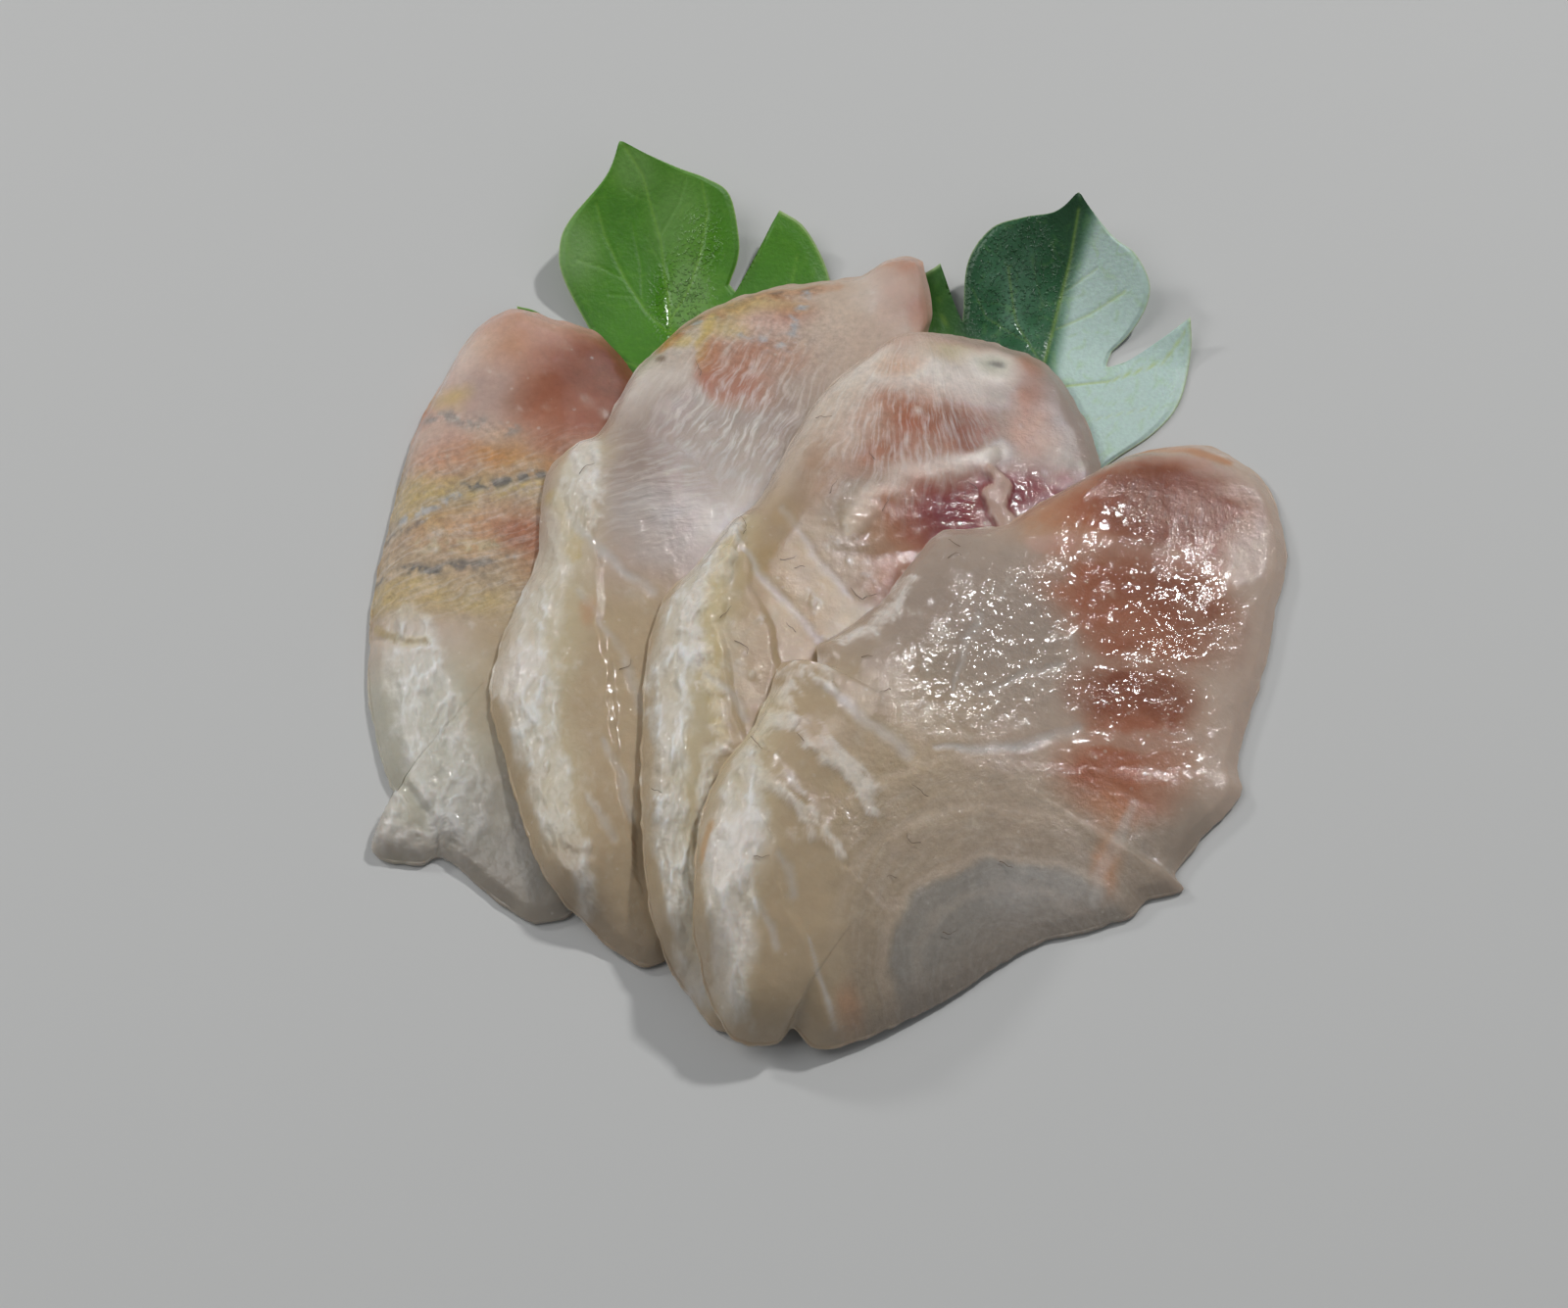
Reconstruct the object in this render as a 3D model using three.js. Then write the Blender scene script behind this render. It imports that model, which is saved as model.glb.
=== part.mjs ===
// A serving of raw white fish: four thin slices fanned over each other, with two lobed
// garnish leaves tucked behind them. Millimetres, +Z up, everything lies on the plane z = 0.
//
// The fan spreads towards +X. Slice 1 lies flat. Each later slice leans with its left part
// on the slice before it and comes down to the table on its right, as laid fish does.
// A slice is built in two steps: its underside is a soft sheet draped over what lies below,
// and its top is that sheet plus the slice's own thickness.

import * as THREE from 'three';
import { TessellateModifier } from 'three/addons/modifiers/TessellateModifier.js';
import { mergeVertices } from 'three/addons/utils/BufferGeometryUtils.js';

// ---------- driving dimensions ----------

const MIDDLE = [4.86, 10]; // middle of the footprint, which becomes the origin
const GAP = 0.45; // air between pieces that lie on each other
const RIM = 0.8; // height of a slice's cut edge
const ROUND = 4.5; // width of the rounding above the cut edge
const LEAF_THICK = 0.5;
const LEAF_EDGE = 4; // longest triangle side on a leaf

// Each slice: its middle, thickness at the left and right, width of its sloping left
// flank, and its outline from the top of the left side round by the bottom.
const SLICES = [
  {
    name: 'slice_1',
    middle: [-25.5, 4],
    thick: [3.8, 2.6],
    flank: 5,
    outline: [
      [-29.5, 43.5], [-33.5, 42], [-37, 35], [-39.5, 28.5], [-41, 20.5], [-42.5, 9.5],
      [-42.5, -1.5], [-40.5, -11], [-39, -14.5], [-40.5, -17], [-41, -21], [-36.5, -22],
      [-34, -21.5], [-28.5, -26], [-24.5, -28.5], [-20.5, -27], [-14.5, -22], [-10, -13],
      [-6.5, -2], [-7, 10], [-9.5, 21.5], [-12.5, 30], [-16, 36], [-20, 41], [-25, 42.5],
    ],
  },
  {
    name: 'slice_2',
    middle: [-6.5, -2.5],
    thick: [4.2, 2.6],
    flank: 8,
    outline: [
      [-14.5, 37], [-17, 32], [-19.5, 26.5], [-22, 25], [-25, 21], [-25.5, 11.5],
      [-27, 7], [-29, 0.5], [-29.5, -6], [-27, -15], [-24, -24], [-20.5, -28.5],
      [-14.5, -33], [-11, -32.5], [-6, -31], [1, -24.5], [6.5, -15], [9.5, -3.5],
      [12.5, 10], [14.5, 22.5], [15.5, 34], [15.5, 41], [16, 44], [14.5, 50],
      [11.5, 51], [8.5, 49], [4, 48], [-3, 46.5], [-10, 43],
    ],
  },
  {
    name: 'slice_3',
    middle: [8, -10],
    thick: [4.4, 2.8],
    flank: 8,
    outline: [
      [11.5, 38.5], [4.5, 32], [0.5, 24.5], [-2.5, 17.5], [-5.5, 14], [-8.5, 9],
      [-12, 4.5], [-13.5, -1], [-14, -9.5], [-14, -17], [-13.5, -25.5], [-12, -32.5],
      [-8, -38.5], [-5.5, -40.5], [-1, -40], [6.5, -35], [14.5, -26.5], [21.5, -15.5],
      [27.5, -3], [31.5, 10], [33.5, 19.5], [33.5, 24.5], [32, 30.5], [28.5, 37],
      [22.5, 39.5], [15.5, 39.5],
    ],
  },
  {
    name: 'slice_4',
    middle: [20, -14],
    thick: [4.6, 3.6],
    flank: 8,
    outline: [
      [33, 22], [26.5, 17.5], [22.5, 14.5], [16.5, 13], [13.5, 9.5], [10, 4],
      [5.5, -0.5], [3.5, -2], [3.5, -4.5], [0, -4.5], [-1.5, -8.5], [-3.5, -13],
      [-6, -17], [-8, -22.5], [-8.5, -28], [-8.5, -34], [-5.5, -41.5], [-1, -42.5],
      [1, -41], [3.5, -42.5], [8.5, -41], [15, -37.5], [21.5, -33], [25.5, -30.5],
      [29.5, -29.5], [34, -28], [36, -26], [39.5, -25], [39, -23], [42, -19],
      [46, -14.5], [46, -10], [49.5, 1], [51, 7.5], [52.5, 14], [51, 22.5],
      [46, 27], [41, 27], [36.5, 25],
    ],
  },
];

// Each leaf: its smooth edge runs between tips and notches, from the foot round by the
// left lobe, and the line from hinge to tip along which it curls up off the table.
const LEAVES = [
  {
    name: 'leaf_left',
    hinge: [-11.5, 41.5],
    tip: [-18, 62.5],
    rise: 8,
    fold: 0.1,
    runs: [
      [[-11, 19.5], [-17, 24], [-21, 28.5], [-25, 34.5], [-28, 40.5], [-29, 44.5]],
      [[-29, 44.5], [-26.5, 44], [-22.5, 41.5]],
      [[-22.5, 41.5], [-21.5, 41.5], [-21, 42.5]],
      [[-21, 42.5], [-24, 48], [-24.5, 51], [-23.5, 54], [-19.5, 59], [-18, 62.5]],
      [[-18, 62.5], [-12, 60.5], [-8.5, 59.5], [-6, 58], [-5, 54], [-5, 51.5], [-6, 48.5]],
      [[-6, 48.5], [-5, 47.5], [-4, 48]],
      [[-4, 48], [-2.5, 50.5], [-1.5, 53.5], [-0.5, 56.5]],
      [[-0.5, 56.5], [2.5, 54.5], [5, 49.5], [5.5, 42.5], [3.5, 34.5], [-1, 27], [-11, 19.5]],
    ],
  },
  {
    name: 'leaf_right',
    hinge: [29, 39.5],
    tip: [32, 55.5],
    rise: 8,
    fold: 0.16,
    runs: [
      [[21, 14.5], [16.5, 17], [12.5, 23.5], [11, 35], [13.5, 46.5], [17, 49.5]],
      [[17, 49.5], [18, 46], [18.5, 43.5]],
      [[18.5, 43.5], [19, 42.5], [19.5, 44.5]],
      [[19.5, 44.5], [20, 49.5], [22.5, 52.5], [26, 53.5], [29.5, 54], [32, 55.5]],
      [[32, 55.5], [35.5, 51.5], [38, 49.5], [39.5, 47], [39.5, 45], [38, 42.5], [35.5, 40]],
      [[35.5, 40], [35, 38], [38, 39]],
      [[38, 39], [41.5, 41.5], [44, 43]],
      [[44, 43], [44, 39.5], [42.5, 33.5], [39.5, 29.5], [33.5, 24.5], [28, 16], [21, 14.5]],
    ],
  },
];

const FISH = { color: 0xc2ae90, roughness: 0.28, metalness: 0 };
const LEAF = { color: 0x4f8a3a, roughness: 0.45, metalness: 0 };

// ---------- mesh density ----------

const SPOKES = 60; // points round a slice
const RINGS = [0.22, 0.45, 0.65, 0.8, 0.9, 0.96, 1]; // fractions of the way from middle to edge
const SAMPLES = 12; // outline samples between two set points

// ---------- small helpers ----------

const smooth = (t) => {
  const u = Math.min(Math.max(t, 0), 1);
  return u * u * (3 - 2 * u);
};

const mix = (a, b, t) => a + (b - a) * t;

const curveThrough = (points, closed) =>
  new THREE.CatmullRomCurve3(
    points.map(([x, y]) => new THREE.Vector3(x, y, 0)),
    closed,
    'catmullrom',
    0.5,
  );

// ---------- a height field over the table ----------

const CELL = 0.5;
const FIELD_MIN = [-50, -50];
const FIELD_SIZE = [230, 240];
const DRAPE_STEPS = 200;
const FLAT_BELOW = 0.03; // a sheet this low lies flat on the table
const SWELL_STEPS = 3; // the ground swells by this many cells, so a stiff sheet clears its corners

function makeField(heightAt) {
  const field = new Float64Array(FIELD_SIZE[0] * FIELD_SIZE[1]);
  for (let i = 0; i < FIELD_SIZE[0]; i += 1) {
    for (let j = 0; j < FIELD_SIZE[1]; j += 1) {
      const x = FIELD_MIN[0] + i * CELL;
      const y = FIELD_MIN[1] + j * CELL;
      field[i * FIELD_SIZE[1] + j] = heightAt(x, y);
    }
  }
  return field;
}

// Height at any point, straight between the four nearest field points.
function fieldAt(field, x, y) {
  const fx = (x - FIELD_MIN[0]) / CELL;
  const fy = (y - FIELD_MIN[1]) / CELL;
  const i = Math.min(Math.floor(fx), FIELD_SIZE[0] - 2);
  const j = Math.min(Math.floor(fy), FIELD_SIZE[1] - 2);
  const at = (a, b) => field[a * FIELD_SIZE[1] + b];
  const low = mix(at(i, j), at(i + 1, j), fx - i);
  const high = mix(at(i, j + 1), at(i + 1, j + 1), fx - i);
  return mix(low, high, fy - j);
}

// Works a field over and over: each inner point becomes rule(its index, its four neighbours).
function rework(field, steps, rule) {
  const [nx, ny] = FIELD_SIZE;
  let now = field;
  for (let step = 0; step < steps; step += 1) {
    const next = now.slice();
    for (let i = 1; i < nx - 1; i += 1) {
      for (let j = 1; j < ny - 1; j += 1) {
        const k = i * ny + j;
        next[k] = rule(k, [now[k - ny], now[k + ny], now[k - 1], now[k + 1]], now[k]);
      }
    }
    now = next;
  }
  return now;
}

// A soft sheet over an uneven ground: every step each point sinks to the mean of its
// four neighbours, but never below the swollen ground.
function drape(ground) {
  const swollen = rework(ground, SWELL_STEPS, (k, near, own) => Math.max(own, ...near));
  const sheet = rework(swollen, DRAPE_STEPS, (k, [a, b, c, d]) =>
    Math.max(swollen[k], (a + b + c + d) / 4),
  );
  return sheet.map((height) => (height < FLAT_BELOW ? 0 : height));
}

// ---------- slices ----------

// The outline's distance from the slice's middle in every direction.
function makeRadius({ middle, outline }) {
  const curve = curveThrough(outline, true);
  const polar = curve.getPoints(outline.length * SAMPLES).map((point) => {
    const dx = point.x - middle[0];
    const dy = point.y - middle[1];
    return { angle: Math.atan2(dy, dx), radius: Math.hypot(dx, dy) };
  });
  polar.sort((a, b) => a.angle - b.angle);
  return (angle) => {
    let high = polar.findIndex((sample) => sample.angle > angle);
    if (high < 0) high = 0;
    const after = polar[high];
    const before = polar[(high + polar.length - 1) % polar.length];
    const turn = (a) => (a + 4 * Math.PI) % (2 * Math.PI);
    const span = turn(after.angle - before.angle) || 1;
    return mix(before.radius, after.radius, turn(angle - before.angle) / span);
  };
}

// The slice's thickness anywhere: none outside its outline.
// Full thickness falls from left to right, and rounds down to the rim as a quarter
// ellipse whose width is ROUND, or the slice's flank width on its left.
function makeThickness(slice) {
  const radiusAt = makeRadius(slice);
  const xs = slice.outline.map(([x]) => x);
  const left = Math.min(...xs);
  const right = Math.max(...xs);
  return (x, y) => {
    const dx = x - slice.middle[0];
    const dy = y - slice.middle[1];
    const angle = Math.atan2(dy, dx);
    const inward = radiusAt(angle) - Math.hypot(dx, dy);
    if (inward < -1e-6) return 0;
    const leftward = smooth((0.2 - Math.cos(angle + 0.21)) / 0.8);
    const width = mix(ROUND, slice.flank, leftward);
    const t = Math.min(Math.max(inward / width, 0), 1);
    const rise = Math.sqrt(1 - (1 - t) ** 2);
    const full = mix(slice.thick[0], slice.thick[1], smooth((x - left) / (right - left)));
    return mix(RIM, full, rise);
  };
}

// A closed body of two stacked sheets joined by a rim. Each sheet is a set of rings, which
// are the outline shrunk towards the slice's middle.
function sliceGeometry(slice, thicknessAt, base) {
  const rim = curveThrough(slice.outline, true).getSpacedPoints(SPOKES).slice(0, SPOKES);
  const ring = RINGS.length;
  const positions = [];
  const addSheet = (heightAt) => {
    positions.push(...slice.middle, heightAt(...slice.middle));
    for (const fraction of RINGS) {
      for (const point of rim) {
        const x = mix(slice.middle[0], point.x, fraction);
        const y = mix(slice.middle[1], point.y, fraction);
        positions.push(x, y, heightAt(x, y));
      }
    }
  };
  addSheet((x, y) => fieldAt(base, x, y));
  addSheet((x, y) => fieldAt(base, x, y) + Math.max(thicknessAt(x, y), RIM));

  const sheetSize = 1 + ring * SPOKES;
  const at = (sheet, r, s) => sheet * sheetSize + (r < 0 ? 0 : 1 + r * SPOKES + (s % SPOKES));
  const index = [];
  for (let s = 0; s < SPOKES; s += 1) {
    for (let r = -1; r < ring - 1; r += 1) {
      for (const sheet of [0, 1]) {
        const inner = [at(sheet, r, s), at(sheet, r, s + 1)];
        const outer = [at(sheet, r + 1, s), at(sheet, r + 1, s + 1)];
        const faces = [[inner[0], outer[0], outer[1]]];
        if (r >= 0) faces.push([inner[0], outer[1], inner[1]]);
        for (const [a, b, c] of faces) index.push(...(sheet === 1 ? [a, b, c] : [a, c, b]));
      }
    }
    const low = [at(0, ring - 1, s), at(0, ring - 1, s + 1)];
    const high = [at(1, ring - 1, s), at(1, ring - 1, s + 1)];
    index.push(low[0], low[1], high[1], low[0], high[1], high[0]);
  }
  const geometry = new THREE.BufferGeometry();
  geometry.setAttribute('position', new THREE.Float32BufferAttribute(positions, 3));
  geometry.setIndex(index);
  geometry.computeVertexNormals();
  return geometry;
}

// ---------- leaves ----------

// Beyond the hinge a leaf curls up as the square of the way to its tip, and both halves
// rise a little from the midrib, so that it is slightly folded.
function makeLift({ hinge, tip, rise, fold }) {
  const along = new THREE.Vector2(tip[0] - hinge[0], tip[1] - hinge[1]);
  const length = along.length();
  along.normalize();
  return (x, y) => {
    const dx = x - hinge[0];
    const dy = y - hinge[1];
    const way = Math.max(dx * along.x + dy * along.y, 0);
    const side = Math.abs(dx * along.y - dy * along.x);
    return rise * (way / length) ** 2 + fold * side * smooth(way / 12);
  };
}

function leafOutline({ runs }) {
  return runs.flatMap((run) => {
    const points = curveThrough(run, false).getPoints((run.length - 1) * 2);
    return points.slice(0, -1).map((point) => new THREE.Vector2(point.x, point.y));
  });
}

function leafGeometry(leaf) {
  const lift = makeLift(leaf);
  const shape = new THREE.Shape(leafOutline(leaf));
  const plate = new THREE.ExtrudeGeometry(shape, { depth: LEAF_THICK, bevelEnabled: false });
  plate.deleteAttribute('normal');
  plate.deleteAttribute('uv');
  const fine = mergeVertices(new TessellateModifier(LEAF_EDGE, 8).modify(plate), 1e-4);
  const position = fine.attributes.position;
  for (let i = 0; i < position.count; i += 1) {
    const z = position.getZ(i) + lift(position.getX(i), position.getY(i));
    position.setZ(i, z);
  }
  fine.computeVertexNormals();
  return fine;
}

// Is a point inside a closed outline: it is when a ray crosses the outline oddly often.
function isInside(outline, x, y) {
  let inside = false;
  outline.forEach((a, i) => {
    const b = outline[(i + 1) % outline.length];
    const crosses = a.y > y !== b.y > y;
    if (crosses && x < ((b.x - a.x) * (y - a.y)) / (b.y - a.y) + a.x) inside = !inside;
  });
  return inside;
}

// ---------- the serving ----------

const model = new THREE.Group();
const serving = new THREE.Group();
serving.position.set(-MIDDLE[0], -MIDDLE[1], 0);
model.add(serving);

function addPiece(name, geometry, finish) {
  const mesh = new THREE.Mesh(geometry, new THREE.MeshStandardMaterial(finish));
  mesh.name = name;
  serving.add(mesh);
}

// The ground is the highest thing laid so far plus the gap, and the bare table elsewhere.
let ground = makeField(() => 0);

for (const leaf of LEAVES) {
  addPiece(leaf.name, leafGeometry(leaf), LEAF);
  const outline = leafOutline(leaf);
  const lift = makeLift(leaf);
  const under = ground;
  ground = makeField((x, y) => {
    const before = fieldAt(under, x, y);
    return isInside(outline, x, y) ? Math.max(before, lift(x, y) + LEAF_THICK + GAP) : before;
  });
}

for (const slice of SLICES) {
  const thicknessAt = makeThickness(slice);
  const base = drape(ground);
  addPiece(slice.name, sliceGeometry(slice, thicknessAt, base), FISH);
  const under = ground;
  ground = makeField((x, y) => {
    const thickness = thicknessAt(x, y);
    return thickness > 0 ? fieldAt(base, x, y) + thickness + GAP : fieldAt(under, x, y);
  });
}

export default model;
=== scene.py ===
# %% [markdown]
# # A fan of raw white fish with two garnish leaves
#
# Four thin slices of white fish lie fanned over each other, and two lobed leaves are tucked
# behind them. The packed model gives the true size and place of every piece. This lesson
# makes the surfaces that the eye sees: wet flesh, silvery skin, torn edges and leaf veins.
# Each piece is a surface worked out with numpy from a few named shapes.

import bpy
import numpy as np
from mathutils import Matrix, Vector


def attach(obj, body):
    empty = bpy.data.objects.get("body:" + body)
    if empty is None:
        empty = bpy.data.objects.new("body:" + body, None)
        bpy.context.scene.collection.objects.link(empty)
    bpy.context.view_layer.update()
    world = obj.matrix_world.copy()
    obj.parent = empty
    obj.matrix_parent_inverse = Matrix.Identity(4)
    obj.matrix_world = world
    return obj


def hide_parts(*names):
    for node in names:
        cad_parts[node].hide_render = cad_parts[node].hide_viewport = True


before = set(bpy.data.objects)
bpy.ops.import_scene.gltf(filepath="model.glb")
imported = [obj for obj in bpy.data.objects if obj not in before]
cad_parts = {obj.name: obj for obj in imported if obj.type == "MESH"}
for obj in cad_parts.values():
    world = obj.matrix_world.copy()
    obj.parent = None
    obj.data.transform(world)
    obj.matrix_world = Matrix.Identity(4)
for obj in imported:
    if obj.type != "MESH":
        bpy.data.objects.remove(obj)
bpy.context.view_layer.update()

# %% [markdown]
# ## Units and place
#
# The shapes are written in millimetres in the frame in which the serving was laid out, and
# moved by one vector so that the origin lies under the middle of the whole serving.

# %% Units and small helpers
MM = 0.001
MIDDLE = np.array([4.86, 10.0, 0.0])


def smooth(t):
    """Smoothstep: 0 below 0, 1 above 1, and 3 t squared minus 2 t cubed between."""
    t = np.clip(t, 0.0, 1.0)
    return t * t * (3 - 2 * t)


def mix(a, b, t):
    """Straight blend from a to b as t goes from 0 to 1."""
    return a + (b - a) * t


def to_model(points):
    """Layout millimetres to model metres."""
    return (np.asarray(points, float) - MIDDLE) * MM


print("middle of the serving in the layout", MIDDLE.tolist(), "mm")

# %% [markdown]
# ## Random but repeatable unevenness
#
# Flesh is never smooth or even. All unevenness comes from one lattice of random heights,
# blended smoothly between lattice points. Sums of ever finer copies give soft mottling,
# and folding the values at their middle gives sharp creases. The seed is fixed, so that
# every run gives the same piece.

# %% Noise
LATTICE = np.random.default_rng(11).random((256, 256))
OCTAVE_TURN = 0.65


def noise(x, y, seed=0):
    """Lattice heights blended by the smoothstep of the way between their points."""
    x, y = x + 31.7 * seed, y + 17.3 * seed
    i, j = np.floor(x).astype(int), np.floor(y).astype(int)
    u, v = smooth(x - i), smooth(y - j)
    low = mix(LATTICE[i % 256, j % 256], LATTICE[(i + 1) % 256, j % 256], u)
    high = mix(LATTICE[i % 256, (j + 1) % 256], LATTICE[(i + 1) % 256, (j + 1) % 256], u)
    return mix(low, high, v)


def layered(x, y, octaves, seed, fold):
    """Sum of octaves, each twice as fine, half as strong and turned a little."""
    total, weight = np.zeros(np.shape(x)), 0.0
    for k in range(octaves):
        value = noise(x, y, seed + 5 * k)
        gain = 0.5**k
        total += gain * (1 - np.abs(2 * value - 1) if fold else value)
        weight += gain
        c, s = np.cos(OCTAVE_TURN), np.sin(OCTAVE_TURN)
        x, y = 2 * (c * x - s * y), 2 * (s * x + c * y)
    return total / weight


def mottle(x, y, size, octaves=4, seed=0):
    """Soft noise from 0 to 1 whose largest spots are about size across."""
    return layered(x / size, y / size, octaves, seed, fold=False)


def creases(x, y, size, octaves=3, seed=0):
    """Folded noise from 0 to 1 with sharp ridges about size apart."""
    return layered(x / size, y / size, octaves, seed, fold=True)


print("mottling along 4 mm", np.round(mottle(np.arange(5.0), np.zeros(5), 2.0), 2))

# %% [markdown]
# ## The slices' shapes
#
# The fish is cut on the bias, so each slice is a rounded, slightly wedge-shaped sheet. A
# slice is known by its middle, its thickness at the left and right, the width of its
# sloping left flank and a smooth closed outline through a few set points. The same values
# shaped the packed model, so that the fine surface fits it.

# %% The slices
SLICES = {
    "slice_1": dict(
        middle=(-25.5, 4), thick=(3.8, 2.6), flank=5,
        outline=[
            (-29.5, 43.5), (-33.5, 42), (-37, 35), (-39.5, 28.5), (-41, 20.5), (-42.5, 9.5),
            (-42.5, -1.5), (-40.5, -11), (-39, -14.5), (-40.5, -17), (-41, -21), (-36.5, -22),
            (-34, -21.5), (-28.5, -26), (-24.5, -28.5), (-20.5, -27), (-14.5, -22), (-10, -13),
            (-6.5, -2), (-7, 10), (-9.5, 21.5), (-12.5, 30), (-16, 36), (-20, 41), (-25, 42.5),
        ],
    ),
    "slice_2": dict(
        middle=(-6.5, -2.5), thick=(4.2, 2.6), flank=8,
        outline=[
            (-14.5, 37), (-17, 32), (-19.5, 26.5), (-22, 25), (-25, 21), (-25.5, 11.5),
            (-27, 7), (-29, 0.5), (-29.5, -6), (-27, -15), (-24, -24), (-20.5, -28.5),
            (-14.5, -33), (-11, -32.5), (-6, -31), (1, -24.5), (6.5, -15), (9.5, -3.5),
            (12.5, 10), (14.5, 22.5), (15.5, 34), (15.5, 41), (16, 44), (14.5, 50),
            (11.5, 51), (8.5, 49), (4, 48), (-3, 46.5), (-10, 43),
        ],
    ),
    "slice_3": dict(
        middle=(8, -10), thick=(4.4, 2.8), flank=8,
        outline=[
            (11.5, 38.5), (4.5, 32), (0.5, 24.5), (-2.5, 17.5), (-5.5, 14), (-8.5, 9),
            (-12, 4.5), (-13.5, -1), (-14, -9.5), (-14, -17), (-13.5, -25.5), (-12, -32.5),
            (-8, -38.5), (-5.5, -40.5), (-1, -40), (6.5, -35), (14.5, -26.5), (21.5, -15.5),
            (27.5, -3), (31.5, 10), (33.5, 19.5), (33.5, 24.5), (32, 30.5), (28.5, 37),
            (22.5, 39.5), (15.5, 39.5),
        ],
    ),
    "slice_4": dict(
        middle=(20, -14), thick=(4.6, 3.6), flank=8,
        outline=[
            (33, 22), (26.5, 17.5), (22.5, 14.5), (16.5, 13), (13.5, 9.5), (10, 4),
            (5.5, -0.5), (3.5, -2), (3.5, -4.5), (0, -4.5), (-1.5, -8.5), (-3.5, -13),
            (-6, -17), (-8, -22.5), (-8.5, -28), (-8.5, -34), (-5.5, -41.5), (-1, -42.5),
            (1, -41), (3.5, -42.5), (8.5, -41), (15, -37.5), (21.5, -33), (25.5, -30.5),
            (29.5, -29.5), (34, -28), (36, -26), (39.5, -25), (39, -23), (42, -19),
            (46, -14.5), (46, -10), (49.5, 1), (51, 7.5), (52.5, 14), (51, 22.5),
            (46, 27), (41, 27), (36.5, 25),
        ],
    ),
}
print(len(SLICES), "slices,", sum(len(s["outline"]) for s in SLICES.values()), "outline points")

# %% [markdown]
# ## Outline and thickness
#
# A drawn outline could be a Bezier curve, but its handles would have to be set by hand. A
# Catmull-Rom curve passes through its points by itself and stays smooth. The slice's edge is
# rounded as a quarter ellipse, because a knife leaves soft flesh with a rolled edge: wide on
# the left flank, where the cut slopes, and narrow elsewhere.

# %% Outline and thickness
RIM = 0.8
ROUND = 4.5
SAMPLES = 12
FLANK_TURN = 0.21
NEARBY = np.linspace(-0.24, 0.24, 13)


def curve_through(points, closed):
    """Catmull-Rom curve: each stretch is a cubic set by its two ends and their neighbours."""
    p = np.asarray(points, float)
    if closed:
        before, start, end, after = np.roll(p, 1, 0), p, np.roll(p, -1, 0), np.roll(p, -2, 0)
    else:
        q = np.vstack([2 * p[0] - p[1], p, 2 * p[-1] - p[-2]])
        before, start, end, after = q[:-3], q[1:-2], q[2:-1], q[3:]
    t = (np.arange(SAMPLES) / SAMPLES)[None, :, None]
    before, start, end, after = (a[:, None] for a in (before, start, end, after))
    curve = 0.5 * (
        2 * start
        + (end - before) * t
        + (2 * before - 5 * start + 4 * end - after) * t**2
        + (3 * start - before - 3 * end + after) * t**3
    ).reshape(-1, 2)
    return curve if closed else np.vstack([curve, p[-1]])


def evenly(curve, count, closed):
    """The same curve with count points at even steps along it."""
    path = np.vstack([curve, curve[:1]]) if closed else curve
    way = np.concatenate([[0], np.cumsum(np.hypot(*np.diff(path, axis=0).T))])
    steps = np.linspace(0, way[-1], count, endpoint=not closed)
    return np.stack([np.interp(steps, way, path[:, 0]), np.interp(steps, way, path[:, 1])], 1)


def radius_of(shape, angle):
    """The outline's distance from the slice's middle in a direction."""
    d = curve_through(shape["outline"], closed=True) - shape["middle"]
    a, r = np.arctan2(d[:, 1], d[:, 0]), np.hypot(d[:, 0], d[:, 1])
    order = np.argsort(a)
    return np.interp(angle, a[order], r[order], period=2 * np.pi)


def thickness(shape, x, y, steep=0.5, spread=(1, 1)):
    """Full thickness falls from left to right, and rounds down to the rim as a quarter
    ellipse (steep 0.5) or softer, wide on the left flank and narrow elsewhere. A wide
    spread also fills bays of the outline: inside, the rim's mean over nearby directions
    counts wherever it lies further out."""
    dx, dy = x - shape["middle"][0], y - shape["middle"][1]
    angle = np.arctan2(dy, dx)
    inward = radius_of(shape, angle) - np.hypot(dx, dy)
    if spread[0] > 1:
        nearby = [radius_of(shape, angle + turn) for turn in NEARBY]
        filled = np.maximum(inward, np.mean(nearby, axis=0) - np.hypot(dx, dy))
        inward = mix(inward, filled, smooth(inward / 5))
    leftward = smooth((0.2 - np.cos(angle + FLANK_TURN)) / 0.8)
    t = np.clip(inward / mix(ROUND * spread[0], shape["flank"] * spread[1], leftward), 0, 1)
    xs = [p[0] for p in shape["outline"]]
    across = smooth((x - min(xs)) / (max(xs) - min(xs)))
    full = mix(shape["thick"][0], shape["thick"][1], across)
    return mix(RIM, full, (1 - (1 - t) ** 2) ** steep), inward


for name, shape in SLICES.items():
    wide, deep = np.ptp(curve_through(shape["outline"], closed=True), axis=0)
    print(name, "is", round(float(wide), 1), "x", round(float(deep), 1), "mm")

# %% [markdown]
# ## The leaves' shapes
#
# Each garnish leaf has a middle lobe and two side lobes. Its edge is a chain of smooth runs
# between tips and notches. From the hinge on, the leaf curls up off the table as the square
# of the way to its tip, and both halves rise a little from the midrib.

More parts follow.
